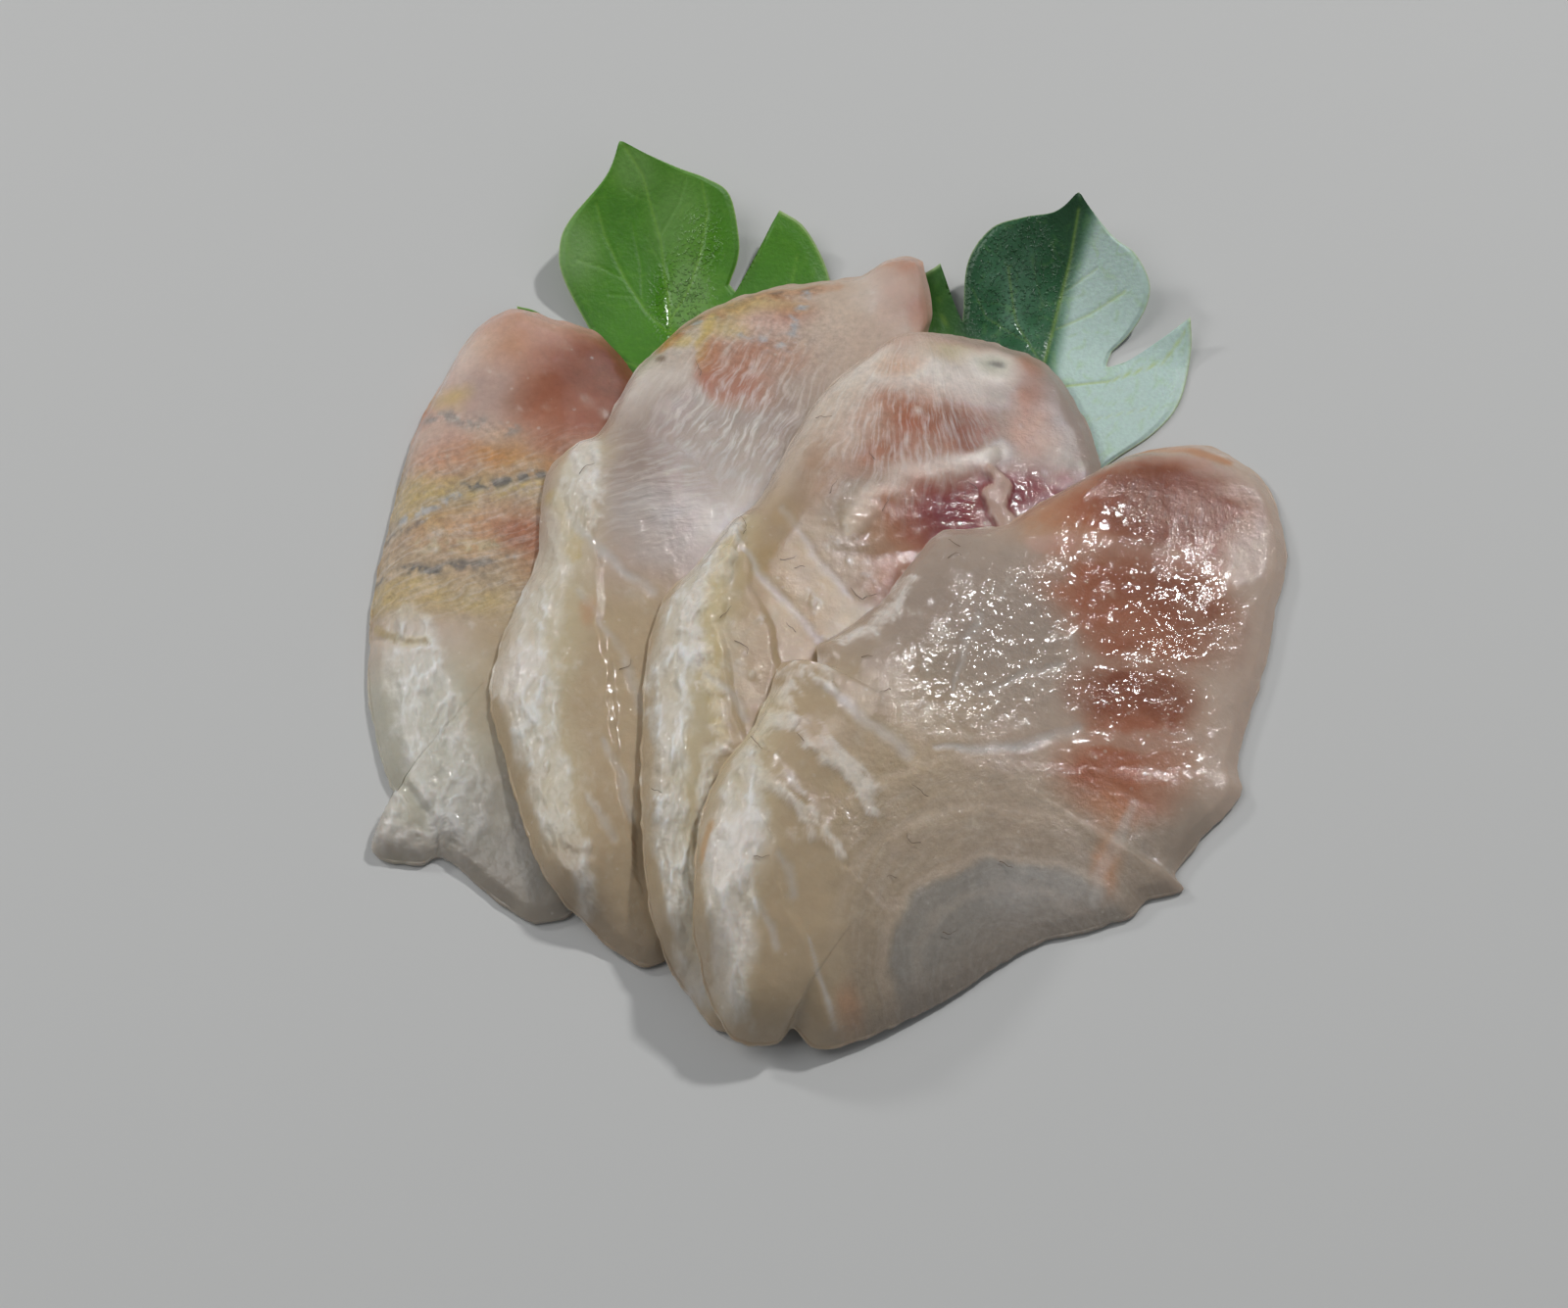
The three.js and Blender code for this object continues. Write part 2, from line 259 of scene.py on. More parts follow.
# %% The leaves
LEAVES = {
    "leaf_left": dict(
        hinge=(-11.5, 41.5), tip=(-18, 62.5), rise=8, fold=0.1,
        spine=[(-11, 19.5), (-12, 30), (-12.3, 38), (-13, 48), (-15, 57), (-18, 62.5)],
        left=[
            [(-11, 19.5), (-17, 24), (-21, 28.5), (-25, 34.5), (-28, 40.5), (-29, 44.5)],
            [(-29, 44.5), (-26.5, 44), (-22.5, 41.5)],
            [(-22.5, 41.5), (-21.5, 41.5), (-21, 42.5)],
            [(-21, 42.5), (-24, 48), (-24.5, 51), (-23.5, 54), (-19.5, 59), (-18, 62.5)],
        ],
        right=[
            [(-11, 19.5), (-1, 27), (3.5, 34.5), (5.5, 42.5), (5, 49.5), (2.5, 54.5),
             (-0.5, 56.5)],
            [(-0.5, 56.5), (-1.5, 53.5), (-2.5, 50.5), (-4, 48)],
            [(-4, 48), (-5, 47.5), (-6, 48.5)],
            [(-6, 48.5), (-5, 51.5), (-5, 54), (-6, 58), (-8.5, 59.5), (-12, 60.5),
             (-18, 62.5)],
        ],
    ),
    "leaf_right": dict(
        hinge=(29, 39.5), tip=(32, 55.5), rise=8, fold=0.16,
        spine=[(21, 14.5), (23, 22), (26, 31), (28.5, 39.5), (30.5, 47), (32, 55.5)],
        left=[
            [(21, 14.5), (16.5, 17), (12.5, 23.5), (11, 35), (13.5, 46.5), (17, 49.5)],
            [(17, 49.5), (18, 46), (18.5, 43.5)],
            [(18.5, 43.5), (19, 42.5), (19.5, 44.5)],
            [(19.5, 44.5), (20, 49.5), (22.5, 52.5), (26, 53.5), (29.5, 54), (32, 55.5)],
        ],
        right=[
            [(21, 14.5), (28, 16), (33.5, 24.5), (39.5, 29.5), (42.5, 33.5), (44, 39.5),
             (44, 43)],
            [(44, 43), (41.5, 41.5), (38, 39)],
            [(38, 39), (35, 38), (35.5, 40)],
            [(35.5, 40), (38, 42.5), (39.5, 45), (39.5, 47), (38, 49.5), (35.5, 51.5),
             (32, 55.5)],
        ],
    ),
}


def leaf_lift(leaf, x, y):
    """Height of a leaf's underside: square of the way past the hinge, plus the fold."""
    along = np.subtract(leaf["tip"], leaf["hinge"])
    length = np.hypot(*along)
    along = along / length
    dx, dy = x - leaf["hinge"][0], y - leaf["hinge"][1]
    way = np.maximum(dx * along[0] + dy * along[1], 0)
    side = np.abs(dx * along[1] - dy * along[0])
    return leaf["rise"] * (way / length) ** 2 + leaf["fold"] * side * smooth(way / 12)


def leaf_outline(leaf):
    """The left edge from foot to tip, then the right edge back to the foot."""
    left = [curve_through(run, closed=False)[:-1] for run in leaf["left"]]
    right = [curve_through(run, closed=False)[:-1] for run in leaf["right"]]
    return np.vstack(left + [[leaf["tip"]]] + [np.vstack(right)[::-1]])


for name, leaf in LEAVES.items():
    print(name, "outline has", len(leaf_outline(leaf)), "points")

# %% [markdown]
# ## How a slice lies
#
# A soft slice bridges what lies below it. A grid of heights over the table holds the ground
# laid so far. The ground is swollen by a few cells, because a slice is too stiff to follow
# a corner, and then a sheet sinks on to it: in every step each point moves to the mean of
# its four neighbours, but never below the ground.

# %% Drape
CELL = 0.5
FIELD_MIN = (-50.0, -50.0)
FIELD_SIZE = (230, 240)
SWELL_STEPS = 3
DRAPE_STEPS = 200
FLAT_BELOW = 0.03
FX, FY = np.meshgrid(
    FIELD_MIN[0] + CELL * np.arange(FIELD_SIZE[0]),
    FIELD_MIN[1] + CELL * np.arange(FIELD_SIZE[1]),
    indexing="ij",
)


def four_neighbours(h):
    """Each inner point's four neighbours, as four shifted arrays."""
    return h[2:, 1:-1], h[:-2, 1:-1], h[1:-1, 2:], h[1:-1, :-2]


def drape(ground):
    """Height of a soft sheet let down on the ground."""
    swollen = ground.copy()
    for _ in range(SWELL_STEPS):
        widest = np.max(four_neighbours(swollen), axis=0)
        swollen[1:-1, 1:-1] = np.maximum(swollen[1:-1, 1:-1], widest)
    sheet = swollen.copy()
    for _ in range(DRAPE_STEPS):
        mean = np.mean(four_neighbours(sheet), axis=0)
        sheet[1:-1, 1:-1] = np.maximum(swollen[1:-1, 1:-1], mean)
    return np.where(sheet < FLAT_BELOW, 0.0, sheet)


def sample(field, x, y):
    """Cubic blend of the sixteen grid heights round each point."""
    fx, fy = (x - FIELD_MIN[0]) / CELL, (y - FIELD_MIN[1]) / CELL
    i = np.clip(np.floor(fx).astype(int), 1, FIELD_SIZE[0] - 3)
    j = np.clip(np.floor(fy).astype(int), 1, FIELD_SIZE[1] - 3)

    def weights(t):
        """Cubic weights of four grid points for a place a share t past the second."""
        return (
            -0.5 * t + t**2 - 0.5 * t**3,
            1 - 2.5 * t**2 + 1.5 * t**3,
            0.5 * t + 2 * t**2 - 1.5 * t**3,
            -0.5 * t**2 + 0.5 * t**3,
        )

    wx, wy = weights(fx - i), weights(fy - j)
    return sum(
        wx[a] * wy[b] * field[i + a - 1, j + b - 1] for a in range(4) for b in range(4)
    )


print("ground grid", FX.shape, "points,", CELL, "mm apart")

# %% [markdown]
# ## Laying the serving down
#
# The food is laid as on a real plate: first the leaves, then slices 1 to 4, each on all that
# lies below it. A cloth simulation could do this, but it would drift from run to run and
# would need pinning, and this takes a second and always ends the same.

# %% Lay the slices down
GAP = 0.45
LEAF_THICK = 0.5


def is_inside(outline, x, y):
    """A point is inside an outline when a ray from it crosses the outline oddly often."""
    inside = np.zeros(x.shape, bool)
    for (ax, ay), (bx, by) in zip(outline, np.roll(outline, -1, axis=0)):
        if ay != by:
            crosses = (ay > y) != (by > y)
            inside ^= crosses & (x < (bx - ax) * (y - ay) / (by - ay) + ax)
    return inside


ground = np.zeros(FIELD_SIZE)
for leaf in LEAVES.values():
    covered = is_inside(evenly(leaf_outline(leaf), 90, closed=True), FX, FY)
    lifted = leaf_lift(leaf, FX, FY) + LEAF_THICK + GAP
    ground = np.where(covered, np.maximum(ground, lifted), ground)

BASES = {}
for name, shape in SLICES.items():
    BASES[name] = drape(ground)
    thick, inward = thickness(shape, FX, FY)
    ground = np.where(inward >= 0, BASES[name] + thick + GAP, ground)
    print(name, "lies up to", round(float(BASES[name][inward >= 0].max()), 1), "mm high")

# %% [markdown]
# ## A canvas for colour and relief
#
# The stains, silvery skin, fibres and torn ridges of each slice are laid on it one by one,
# as a painter would. A soft spot is an ellipse, and a streak is a line with a half width at
# each point. Their edges are bent and their insides mottled by noise, so that none looks
# drawn. One canvas holds the colour, the relief, how silvery, wet and gritty each point is,
# and in which direction its fibres run. An image texture could hold the colours too, but
# values on the points need no unwrapping and stay sharp where the mesh is fine.

# %% Canvas
PAINTS = {
    "cream": (208, 188, 170), "milk": (236, 226, 216), "silver": (226, 222, 214),
    "pale_green": (196, 192, 174), "grey": (152, 148, 142), "slate": (112, 108, 104),
    "ash_blue": (182, 184, 188), "rust": (170, 106, 78), "deep_rust": (136, 78, 54),
    "orange": (196, 142, 106), "amber": (196, 140, 82), "yellow": (204, 178, 116),
    "rose": (206, 168, 154), "crimson": (134, 58, 62), "lilac": (176, 157, 150),
    "flesh": (198, 176, 158), "honey": (188, 166, 134), "rim": (194, 172, 156),
    "ring": (176, 158, 136), "pearl": (206, 202, 200), "dark": (84, 62, 48),
    "shade": (146, 132, 118), "straw": (208, 194, 160),
    "tan": (180, 154, 116), "white": (238, 236, 232),
}


def off_stretch(x, y, start, end):
    """How far along a straight stretch its nearest place lies, from 0 to 1, and the
    steps in x and y from that place to each point."""
    dx, dy = end[0] - start[0], end[1] - start[1]
    t = np.clip(((x - start[0]) * dx + (y - start[1]) * dy) / (dx * dx + dy * dy), 0, 1)
    return t, x - start[0] - t * dx, y - start[1] - t * dy


class Canvas:
    """Colour, relief and finish at every point of one slice's upper side."""

    def __init__(self, x, y, inward, base, seed=0):
        """bx and by are the place bent by noise, and uneven mottles every mark."""
        self.x, self.y, self.inward = x, y, inward
        self.bx = x + 1.8 * (mottle(x, y, 4.0, 4, seed) - 0.5)
        self.by = y + 1.8 * (mottle(x, y, 4.0, 4, seed + 3) - 0.5)
        self.uneven = 0.45 + 1.1 * mottle(x, y, 2.6, 5, seed + 6)
        self.colour = np.tile(np.array(PAINTS[base], float) / 255, (x.size, 1))
        self.relief = np.zeros(x.shape)
        self.silver = np.zeros(x.shape)
        self.wet = np.zeros(x.shape)
        self.grit = np.zeros(x.shape)
        self.fibrous = np.zeros(x.shape)
        self.grain = np.zeros((x.size, 3))

    def wash(self, paint, amount):
        """Blend the colour towards a paint by an amount at each point."""
        target = np.array(PAINTS[paint], float) / 255
        self.colour += (target - self.colour) * np.clip(amount, 0, 1)[:, None]

    def spot_mask(self, cx, cy, rx, ry, turn=0, soft=0.8):
        """1 inside a turned ellipse, falling to 0 at its edge."""
        c, s = np.cos(np.radians(turn)), np.sin(np.radians(turn))
        dx, dy = self.bx - cx, self.by - cy
        d = np.hypot((c * dx + s * dy) / rx, (c * dy - s * dx) / ry)
        return 1 - smooth((d - 1 + soft) / (2 * soft))

    def line_mask(self, path, soft=0.6):
        """1 on a line of (x, y, half width) points, 0 past its half width."""
        best = np.zeros(self.x.shape)
        for start, end in zip(path[:-1], path[1:]):
            t, off_x, off_y = off_stretch(self.bx, self.by, start, end)
            d = np.hypot(off_x, off_y) / mix(start[2], end[2], t)
            best = np.maximum(best, 1 - smooth((d - 1 + soft) / soft))
        return best

    def spot(self, paint, amount, *ellipse, **kind):
        """A mottled soft spot of paint."""
        mask = self.spot_mask(*ellipse, **kind) * self.uneven
        self.wash(paint, amount * mask)
        return mask

    def spots(self, *rows):
        """Soft spots, one over the other: paint, amount, middle, half sizes, turn."""
        for row in rows:
            self.spot(*row)

    def line(self, paint, amount, path, soft=0.8):
        """A mottled soft streak of paint."""
        mask = self.line_mask(path, soft) * self.uneven
        self.wash(paint, amount * mask)
        return mask


print(len(PAINTS), "paints")

# %% [markdown]
# ## Fibres
#
# Muscle fibres show as fine pale threads that run in a common direction. Hair strands would
# be thousands of curves for a faint mark, so the canvas only stores how far each point lies
# along and across its fibres, in millimetres. The finish draws the threads from that.

# %% Fibres
class FibreCanvas(Canvas):
    """A canvas that also lays down straight, fanned or ringed fibres."""

    def lay_grain(self, along, across, amount):
        """Fibres take their direction from the strongest layer at each point."""
        wins = amount > self.fibrous
        self.grain[wins, 0], self.grain[wins, 1] = along[wins], across[wins]
        self.fibrous = np.maximum(self.fibrous, amount)

    def fibres(self, turn, amount):
        """Straight fibres at an angle."""
        c, s = np.cos(np.radians(turn)), np.sin(np.radians(turn))
        self.lay_grain(c * self.bx + s * self.by, c * self.by - s * self.bx, amount)

    def fan(self, cx, cy, reach, amount):
        """Fibres that spread from a point."""
        dx, dy = self.bx - cx, self.by - cy
        self.lay_grain(np.hypot(dx, dy), np.arctan2(dy, dx) * reach, amount)

    def rings(self, cx, cy, reach, amount):
        """Fibres that run in circles round a point."""
        dx, dy = self.bx - cx, self.by - cy
        self.lay_grain(np.arctan2(dy, dx) * reach, np.hypot(dx, dy), amount)


print("brushes:", *(key for key in vars(FibreCanvas) if not key.startswith("_")))

# %% [markdown]
# ## Marks that flesh and skin bear
#
# On top of plain spots and streaks, fish has marks of its own: bands of scale pigment,
# silky silver skin, pale sheets between its muscles, and torn ridges and ledges where the
# knife passed. Each is one brush, made of the same masks and noises, so that the recipes of
# the four slices stay short.

# %% Flesh marks
class FishCanvas(FibreCanvas):
    """A canvas with brushes for skin, muscle sheets, torn ridges and ledges."""

    def band(self, paint, amount, path, grit=1.0):
        """A band of dark or pale grains in the skin, as scales leave behind."""
        mask = self.line_mask(path, 0.9)
        grains = smooth((mottle(self.x, self.y, 0.9, 3, 12) - 0.38) / 0.24)
        self.wash(paint, amount * mask * grains)
        self.grit = np.maximum(self.grit, grit * mask)

    def skin(self, path, amount=0.8, paint="silver"):
        """Silvery skin: pale, in silky folds along its run, broken at its edges."""
        mask = self.line_mask([(px, py, 1.5 * r) for px, py, r in path], soft=1.0)
        folds = creases(self.bx, self.by / 2.2, 2.4, 4, 21)
        small = creases(self.by / 1.4, self.bx, 1.2, 3, 23)
        broken = smooth((mask + 0.9 * (mottle(self.x, self.y, 2.2, 5, 8) - 0.5) - 0.1) / 0.6)
        self.wash(paint, amount * broken * mix(0.1, 1.0, folds))
        self.wash("white", amount * broken * smooth((folds * small - 0.42) / 0.3))
        self.relief += broken * (0.8 * (folds - 0.6) + 0.35 * (small - 0.6))
        self.silver = np.maximum(self.silver, broken)
        self.wet += 0.35 * broken

    def septum(self, path, amount=0.35):
        """A pale sheet between two muscles: a faint line in a shallow groove."""
        mask = self.line("pearl", 0.7 * amount, path, soft=1.0)
        self.relief -= 0.08 * mask

    def torn(self, path, height=0.3, amount=0.55):
        """A torn ridge: a low broken swelling with white crumbs on and beside it."""
        wide = self.line_mask([(px, py, 2.2 * r) for px, py, r in path], soft=1.0)
        lumps = creases((self.bx - self.by) / 2, self.bx + self.by, 1.6, 4, 31)
        torn = smooth((wide + 1.8 * (lumps - 0.8)) / 0.7) * smooth(wide * 1.6)
        self.wash("milk", amount * torn)
        self.wash("white", 0.5 * amount * smooth((torn * lumps - 0.5) / 0.3))
        self.relief += height * wide * (0.1 + 1.2 * lumps * torn)
        self.grit = np.maximum(self.grit, 0.4 * torn)
        self.wet += 0.3 * torn

    def flake(self, path, height=0.35, fall=3.0):
        """A ledge: the flesh stands up on the left of the path and slopes away from it."""
        side, best = np.zeros(self.x.shape), np.full(self.x.shape, 99.0)
        for start, end in zip(path[:-1], path[1:]):
            _, off_x, off_y = off_stretch(self.bx, self.by, start, end)
            d = np.hypot(off_x, off_y)
            turned = (end[0] - start[0]) * off_y - (end[1] - start[1]) * off_x
            side = np.where(d < best, np.sign(turned), side)
            best = np.minimum(best, d)
        step = 0.5 * smooth(1 - best / 0.5)
        self.relief += height * np.where(side > 0, 1 - step, step) * np.exp(-best / fall)

    def rim_shade(self, paint, amount, width, where=1.0):
        """Painted shade: darker towards the rim, where the thin flesh lets less light back."""
        self.wash(paint, amount * where * (1 - smooth(self.inward / width)))


print("brushes:", *(key for key in vars(FishCanvas) if not key.startswith("_")))

# %% [markdown]
# ## Slice 1
#
# The lowest slice shows a grainy tan top with rosy and rusty stains and dark bands, and
# turns pale and silvery below, where a small flap is folded out at the lower left.

# %% Paint slice 1
def try_out(name, painter):
    """Paint the grid's points on a slice, and print the mean colour and wetness."""
    inward = thickness(SLICES[name], FX, FY)[1]
    on = inward > 0
    canvas = painter(FX[on], FY[on], inward[on])
    print(name, "mean colour", canvas.colour.mean(axis=0).round(2),
          "wet", canvas.wet.mean().round(2))


def paint_slice_1(x, y, inward):
    """Tan grain in the middle, rose and rust above it, pale green and silver below."""
    c = FishCanvas(x, y, inward, "cream", seed=1)
    upper = smooth((y - 2) / 10)
    middle = smooth((y - 2) / 5) * smooth((30 - y) / 8)
    c.wash("pale_green", 0.9 * smooth((5 - y) / 10))
    c.wash("tan", 0.65 * middle)
    c.wash("yellow", 0.5 * middle * smooth((mottle(x, y, 5, 4, 4) - 0.45) / 0.25))
    c.wash("rose", 0.2 * middle * smooth((mottle(x, y, 4, 4, 14) - 0.5) / 0.2))
    c.wash("shade", 0.35 * middle * smooth((mottle(x, y, 3, 5, 19) - 0.4) / 0.3))
    c.wash("rose", 0.9 * smooth((y - 24) / 8))
    c.spots(
        ("orange", 0.5, -29.5, 39, 5, 3.5), ("lilac", 0.5, -22, 31, 5, 6),
        ("rust", 1.2, -21, 33.5, 7, 5, 40), ("deep_rust", 1.0, -20, 34.5, 6, 4.8, 40),
        ("rust", 0.55, -24, 27.5, 3.6, 5, 20), ("milk", 0.5, -34.8, 37.5, 2.6, 4, -60),
        ("grey", 0.3, -32, 32, 4, 3), ("yellow", 0.7, -36, 32, 2.2, 1.6),
        ("rust", 0.45, -38.8, 30.5, 1, 2),
    )
    c.band("grey", 0.75, [(-38, 29.5, 1.2), (-34, 28.8, 1.8), (-29, 27.6, 1.4)])
    c.spots(
        ("rose", 0.8, -36, 25, 4, 2.4), ("orange", 0.7, -33, 24, 5, 2.2, 8),
        ("amber", 0.8, -30, 24, 2.6, 1.4, -15), ("amber", 0.45, -24, 22.6, 4, 1.6),
    )
    c.band("yellow", 0.7, [(-39, 20, 1.6), (-31, 20, 1.8), (-25, 20.6, 1.6)], 0.5)
    c.band("slate", 0.9, [(-33.5, 20.4, 0.8), (-29, 21, 1.1), (-24.5, 22, 0.8)])
    c.band("ash_blue", 0.9, [(-40, 17, 1.2), (-36.5, 18, 1.3), (-34, 19.4, 0.8)])
    c.band("slate", 0.8, [(-41.2, 15.6, 0.9), (-39.6, 15.4, 1), (-37, 16.6, 0.6)])
    c.spots(
        ("orange", 0.5, -33, 15.2, 6, 2.6, 12), ("rust", 0.8, -26.5, 15, 3, 2.6),
        ("rust", 0.4, -26, 11.5, 2.4, 3),
    )
    c.band("straw", 0.7, [(-39, 13, 1.6), (-33, 12.8, 1.6), (-29, 14, 1)], 0.8)
    c.band("slate", 1.0, [(-41.5, 10.3, 0.8), (-38, 9.7, 1.2), (-36, 9.8, 0.7)])
    c.band("slate", 0.75, [(-35.5, 10.2, 1), (-31.5, 10.6, 1.3), (-28, 12, 0.8)])
    c.spots(
        ("yellow", 0.8, -30.3, 6.4, 2.4, 1.3), ("yellow", 0.5, -37, 7, 4, 2),
    )
    c.line("yellow", 0.7, [(-42, 4.2, 0.6), (-39, 2.3, 0.9), (-36, 1.6, 0.6)])
    c.relief -= 0.35 * c.line_mask([(-42.5, 3.6, 0.7), (-38.5, 1.7, 0.8), (-36, 1.2, 0.4)])
    c.grit = np.maximum(c.grit, 0.65 * middle + 0.25 * upper)
    c.fibres(24, 0.5 * middle)
    c.skin([(-38, 3, 3), (-36.5, -4, 4.4), (-34.5, -11, 4), (-32.5, -17, 4), (-33, -21, 3)], 0.75)
    c.skin([(-40, -15.5, 1.8), (-39.5, -20, 2.6), (-36, -21, 1.8)], 0.85)
    c.spot("grey", 0.75, -23.5, -22, 9, 9)
    c.spot("honey", 0.8, -27.5, 0, 4, 10, soft=0.9)
    c.spot("shade", 0.35, -26, -14, 4, 12)
    c.rim_shade("shade", 0.5, 5, smooth((-12 - y) / 8))
    c.relief -= 0.5 * c.line_mask([(-38.5, -14.5, 1), (-36, -18, 1.4), (-34.5, -21.5, 0.8)])
    c.relief += 0.3 * creases(c.bx - 0.6 * c.by, c.by * 1.4 + c.bx, 4.5, 3, 17) * middle
    c.wet += 0.8 * c.spot_mask(-28.5, 3, 3, 9) + 0.3 * c.spot_mask(-24, 26, 6, 8)
    return c


try_out("slice_1", paint_slice_1)

# %% [markdown]
# ## Slice 2
#
# The second slice has a stained brown top edge, a knob at its upper right, greyish flesh
# with faint white threads, a broad silvery flank in soft folds and amber flesh beside it.

# %% Paint slice 2
def paint_slice_2(x, y, inward):
    """Brown skin along the top edge, lilac flesh, and a broad silver flank."""
    c = FishCanvas(x, y, inward, "flesh", seed=2)
    c.wash("lilac", 0.8 * c.spot_mask(-9, 22, 12, 14))
    c.wash("shade", 0.62 * c.spot_mask(-5, 24, 10, 12))
    c.wash("honey", 0.9 * smooth((10 - y) / 8))
    c.spots(
        ("pearl", 0.5, -12, 14, 6, 4, -30), ("milk", 0.5, -9, 35, 8, 5, 20),
        ("milk", 0.4, -16, 31, 3, 4), ("straw", 0.5, -21, 24, 3, 5),
    )
    c.fibres(66, 0.9 * c.spot_mask(-6, 31, 9, 8) + 0.2 * c.spot_mask(0, 28, 10, 10))
    c.fibres(18, 0.8 * c.spot_mask(-14, 18, 5.5, 6))
    c.line("orange", 0.7, [(-13.8, 37.6, 1), (-12, 40.6, 1.3), (-8, 43.2, 1.2), (0, 46, 1.1),
                           (6, 47.2, 0.9)])
    c.band("rust", 0.6, [(-13, 39, 1.2), (-9, 41.6, 1.6), (-3, 44.6, 1.4), (4, 46.6, 1)])
    c.band("slate", 0.5, [(-12, 40.5, 0.6), (-8, 43.4, 0.7), (-2, 45.6, 0.7), (4, 46.8, 0.5)])
    c.spot("amber", 0.8, -12.6, 39, 1.4, 1)
    c.band("ash_blue", 1.0, [(-11, 40.6, 0.6), (-9.6, 41.4, 0.8), (-7.8, 42.4, 0.5)], 0.5)
    c.spots(
        ("yellow", 0.6, -6.5, 40.6, 2.6, 1.6), ("yellow", 0.8, -3.2, 43.6, 3.4, 1.4),
        ("yellow", 0.5, 0.8, 43.8, 2, 1),
    )
    c.line("yellow", 0.9, [(-8.2, 42.6, 0.9), (-8.8, 38.8, 1), (-8.2, 34, 0.8)])
    c.spots(
        ("yellow", 0.7, -10.6, 38.6, 1, 0.9), ("rust", 0.8, -7.6, 33, 1.2, 2.6),
        ("orange", 0.7, -7.8, 36.6, 0.8, 2.6), ("rust", 0.65, -3.5, 36.2, 4.8, 2.6, 8),
        ("rust", 0.7, -5, 32, 3.4, 2.4), ("rose", 0.9, -1.5, 41.6, 3.2, 1.8),
        ("rust", 0.4, 1.6, 43.2, 2.6, 1.6),
    )
    c.band("ash_blue", 0.9, [(2.6, 46, 0.9), (1.6, 42.6, 1.2), (0.8, 39.6, 1.2)], 1.0)
    c.band("ash_blue", 0.8, [(-5, 39.4, 1), (-1.6, 38, 1.8), (1, 38.6, 1.6)], 1.0)
    c.spots(
        ("cream", 0.7, 5.8, 43.5, 2.2, 4), ("milk", 0.6, 10.5, 46, 2.6, 3),
        ("rose", 0.7, 13, 46.5, 3, 4), ("rust", 0.4, 13.6, 49.2, 1.8, 1.4),
        ("rust", 0.4, 14.8, 43, 1.2, 3), ("orange", 0.4, 10.5, 50, 3, 1),
    )
    c.spot("dark", 0.6, -13.5, 35.7, 0.6, 0.6, soft=0.6)
    c.wash("straw", 0.7 * c.line_mask([(-21, 25, 3), (-21.5, 15, 5.5), (-23, 5, 6),
                                       (-24.5, -8, 4.5), (-22, -20, 4)], soft=0.9))
    c.line("yellow", 0.5, [(-24, 18, 1.2), (-22, 13, 1.6), (-21.6, 10, 1)])
    c.skin([
        (-20.5, 24.5, 1.6), (-21.5, 19, 2.4), (-23.2, 13, 2.8), (-24.5, 8, 3), (-25.8, 2, 3.6),
        (-26.3, -4, 3.6), (-25.2, -10, 3), (-23.6, -17, 2.4), (-21.6, -23, 2), (-19, -28, 1.4),
    ], 0.8)
    c.spot("milk", 0.7, -27, -3.6, 2, 3.4)
    c.line("honey", 0.8, [(-29, -6, 0.7), (-27.8, -13, 1.1), (-25, -20.5, 1.4),
                          (-21, -27.5, 1.4)])
    c.rim_shade("shade", 0.55, 5, smooth((-20 - y) / 8))
    c.septum([(-22.5, 15.3, 0.8), (-18.6, 9.9, 1.1), (-13.8, 5.8, 1)], 0.8)
    c.septum([(-21, 5.8, 0.5), (-16.7, 0, 0.8), (-15, -8, 0.8)], 0.5)
    c.septum([(-18.4, -11.5, 0.6), (-16.3, -15.5, 0.9), (-15.3, -20, 0.7)], 0.6)
    c.septum([(-19.4, -18, 0.6), (-18, -20, 0.8), (-17, -22, 0.6)], 0.5)
    c.spot("orange", 0.5, -19.8, 2.9, 0.8, 1.6)
    c.flake([(-15, -22), (-17, -14), (-17.6, -4), (-19, 8)], 0.45)
    c.torn([(-21.5, 26, 1.2), (-20, 20, 1.6), (-19.6, 14, 1)], 0.2, 0.4)
    c.relief += 0.3 * c.spot_mask(12.5, 46.5, 2.6, 3, soft=1.0)
    c.grit = np.maximum(c.grit, 0.8 * c.spot_mask(-3, 40, 12, 6))
    c.wet += 0.6 * c.spot_mask(-15.5, -6, 3, 12) + 0.6 * c.spot_mask(-15.5, -31, 5, 2)
    c.wet += 0.3 * c.spot_mask(-20, 25, 4, 6)
    return c


try_out("slice_2", paint_slice_2)

# %% [markdown]
# ## Slice 3
#
# Down the left of the third slice runs a silvery ridge, torn along its top, with amber flesh
# showing beside it. It could be a separate flap, but it is grown together with the slice, so
# it is skin, ledges and torn lumps laid on the same surface.

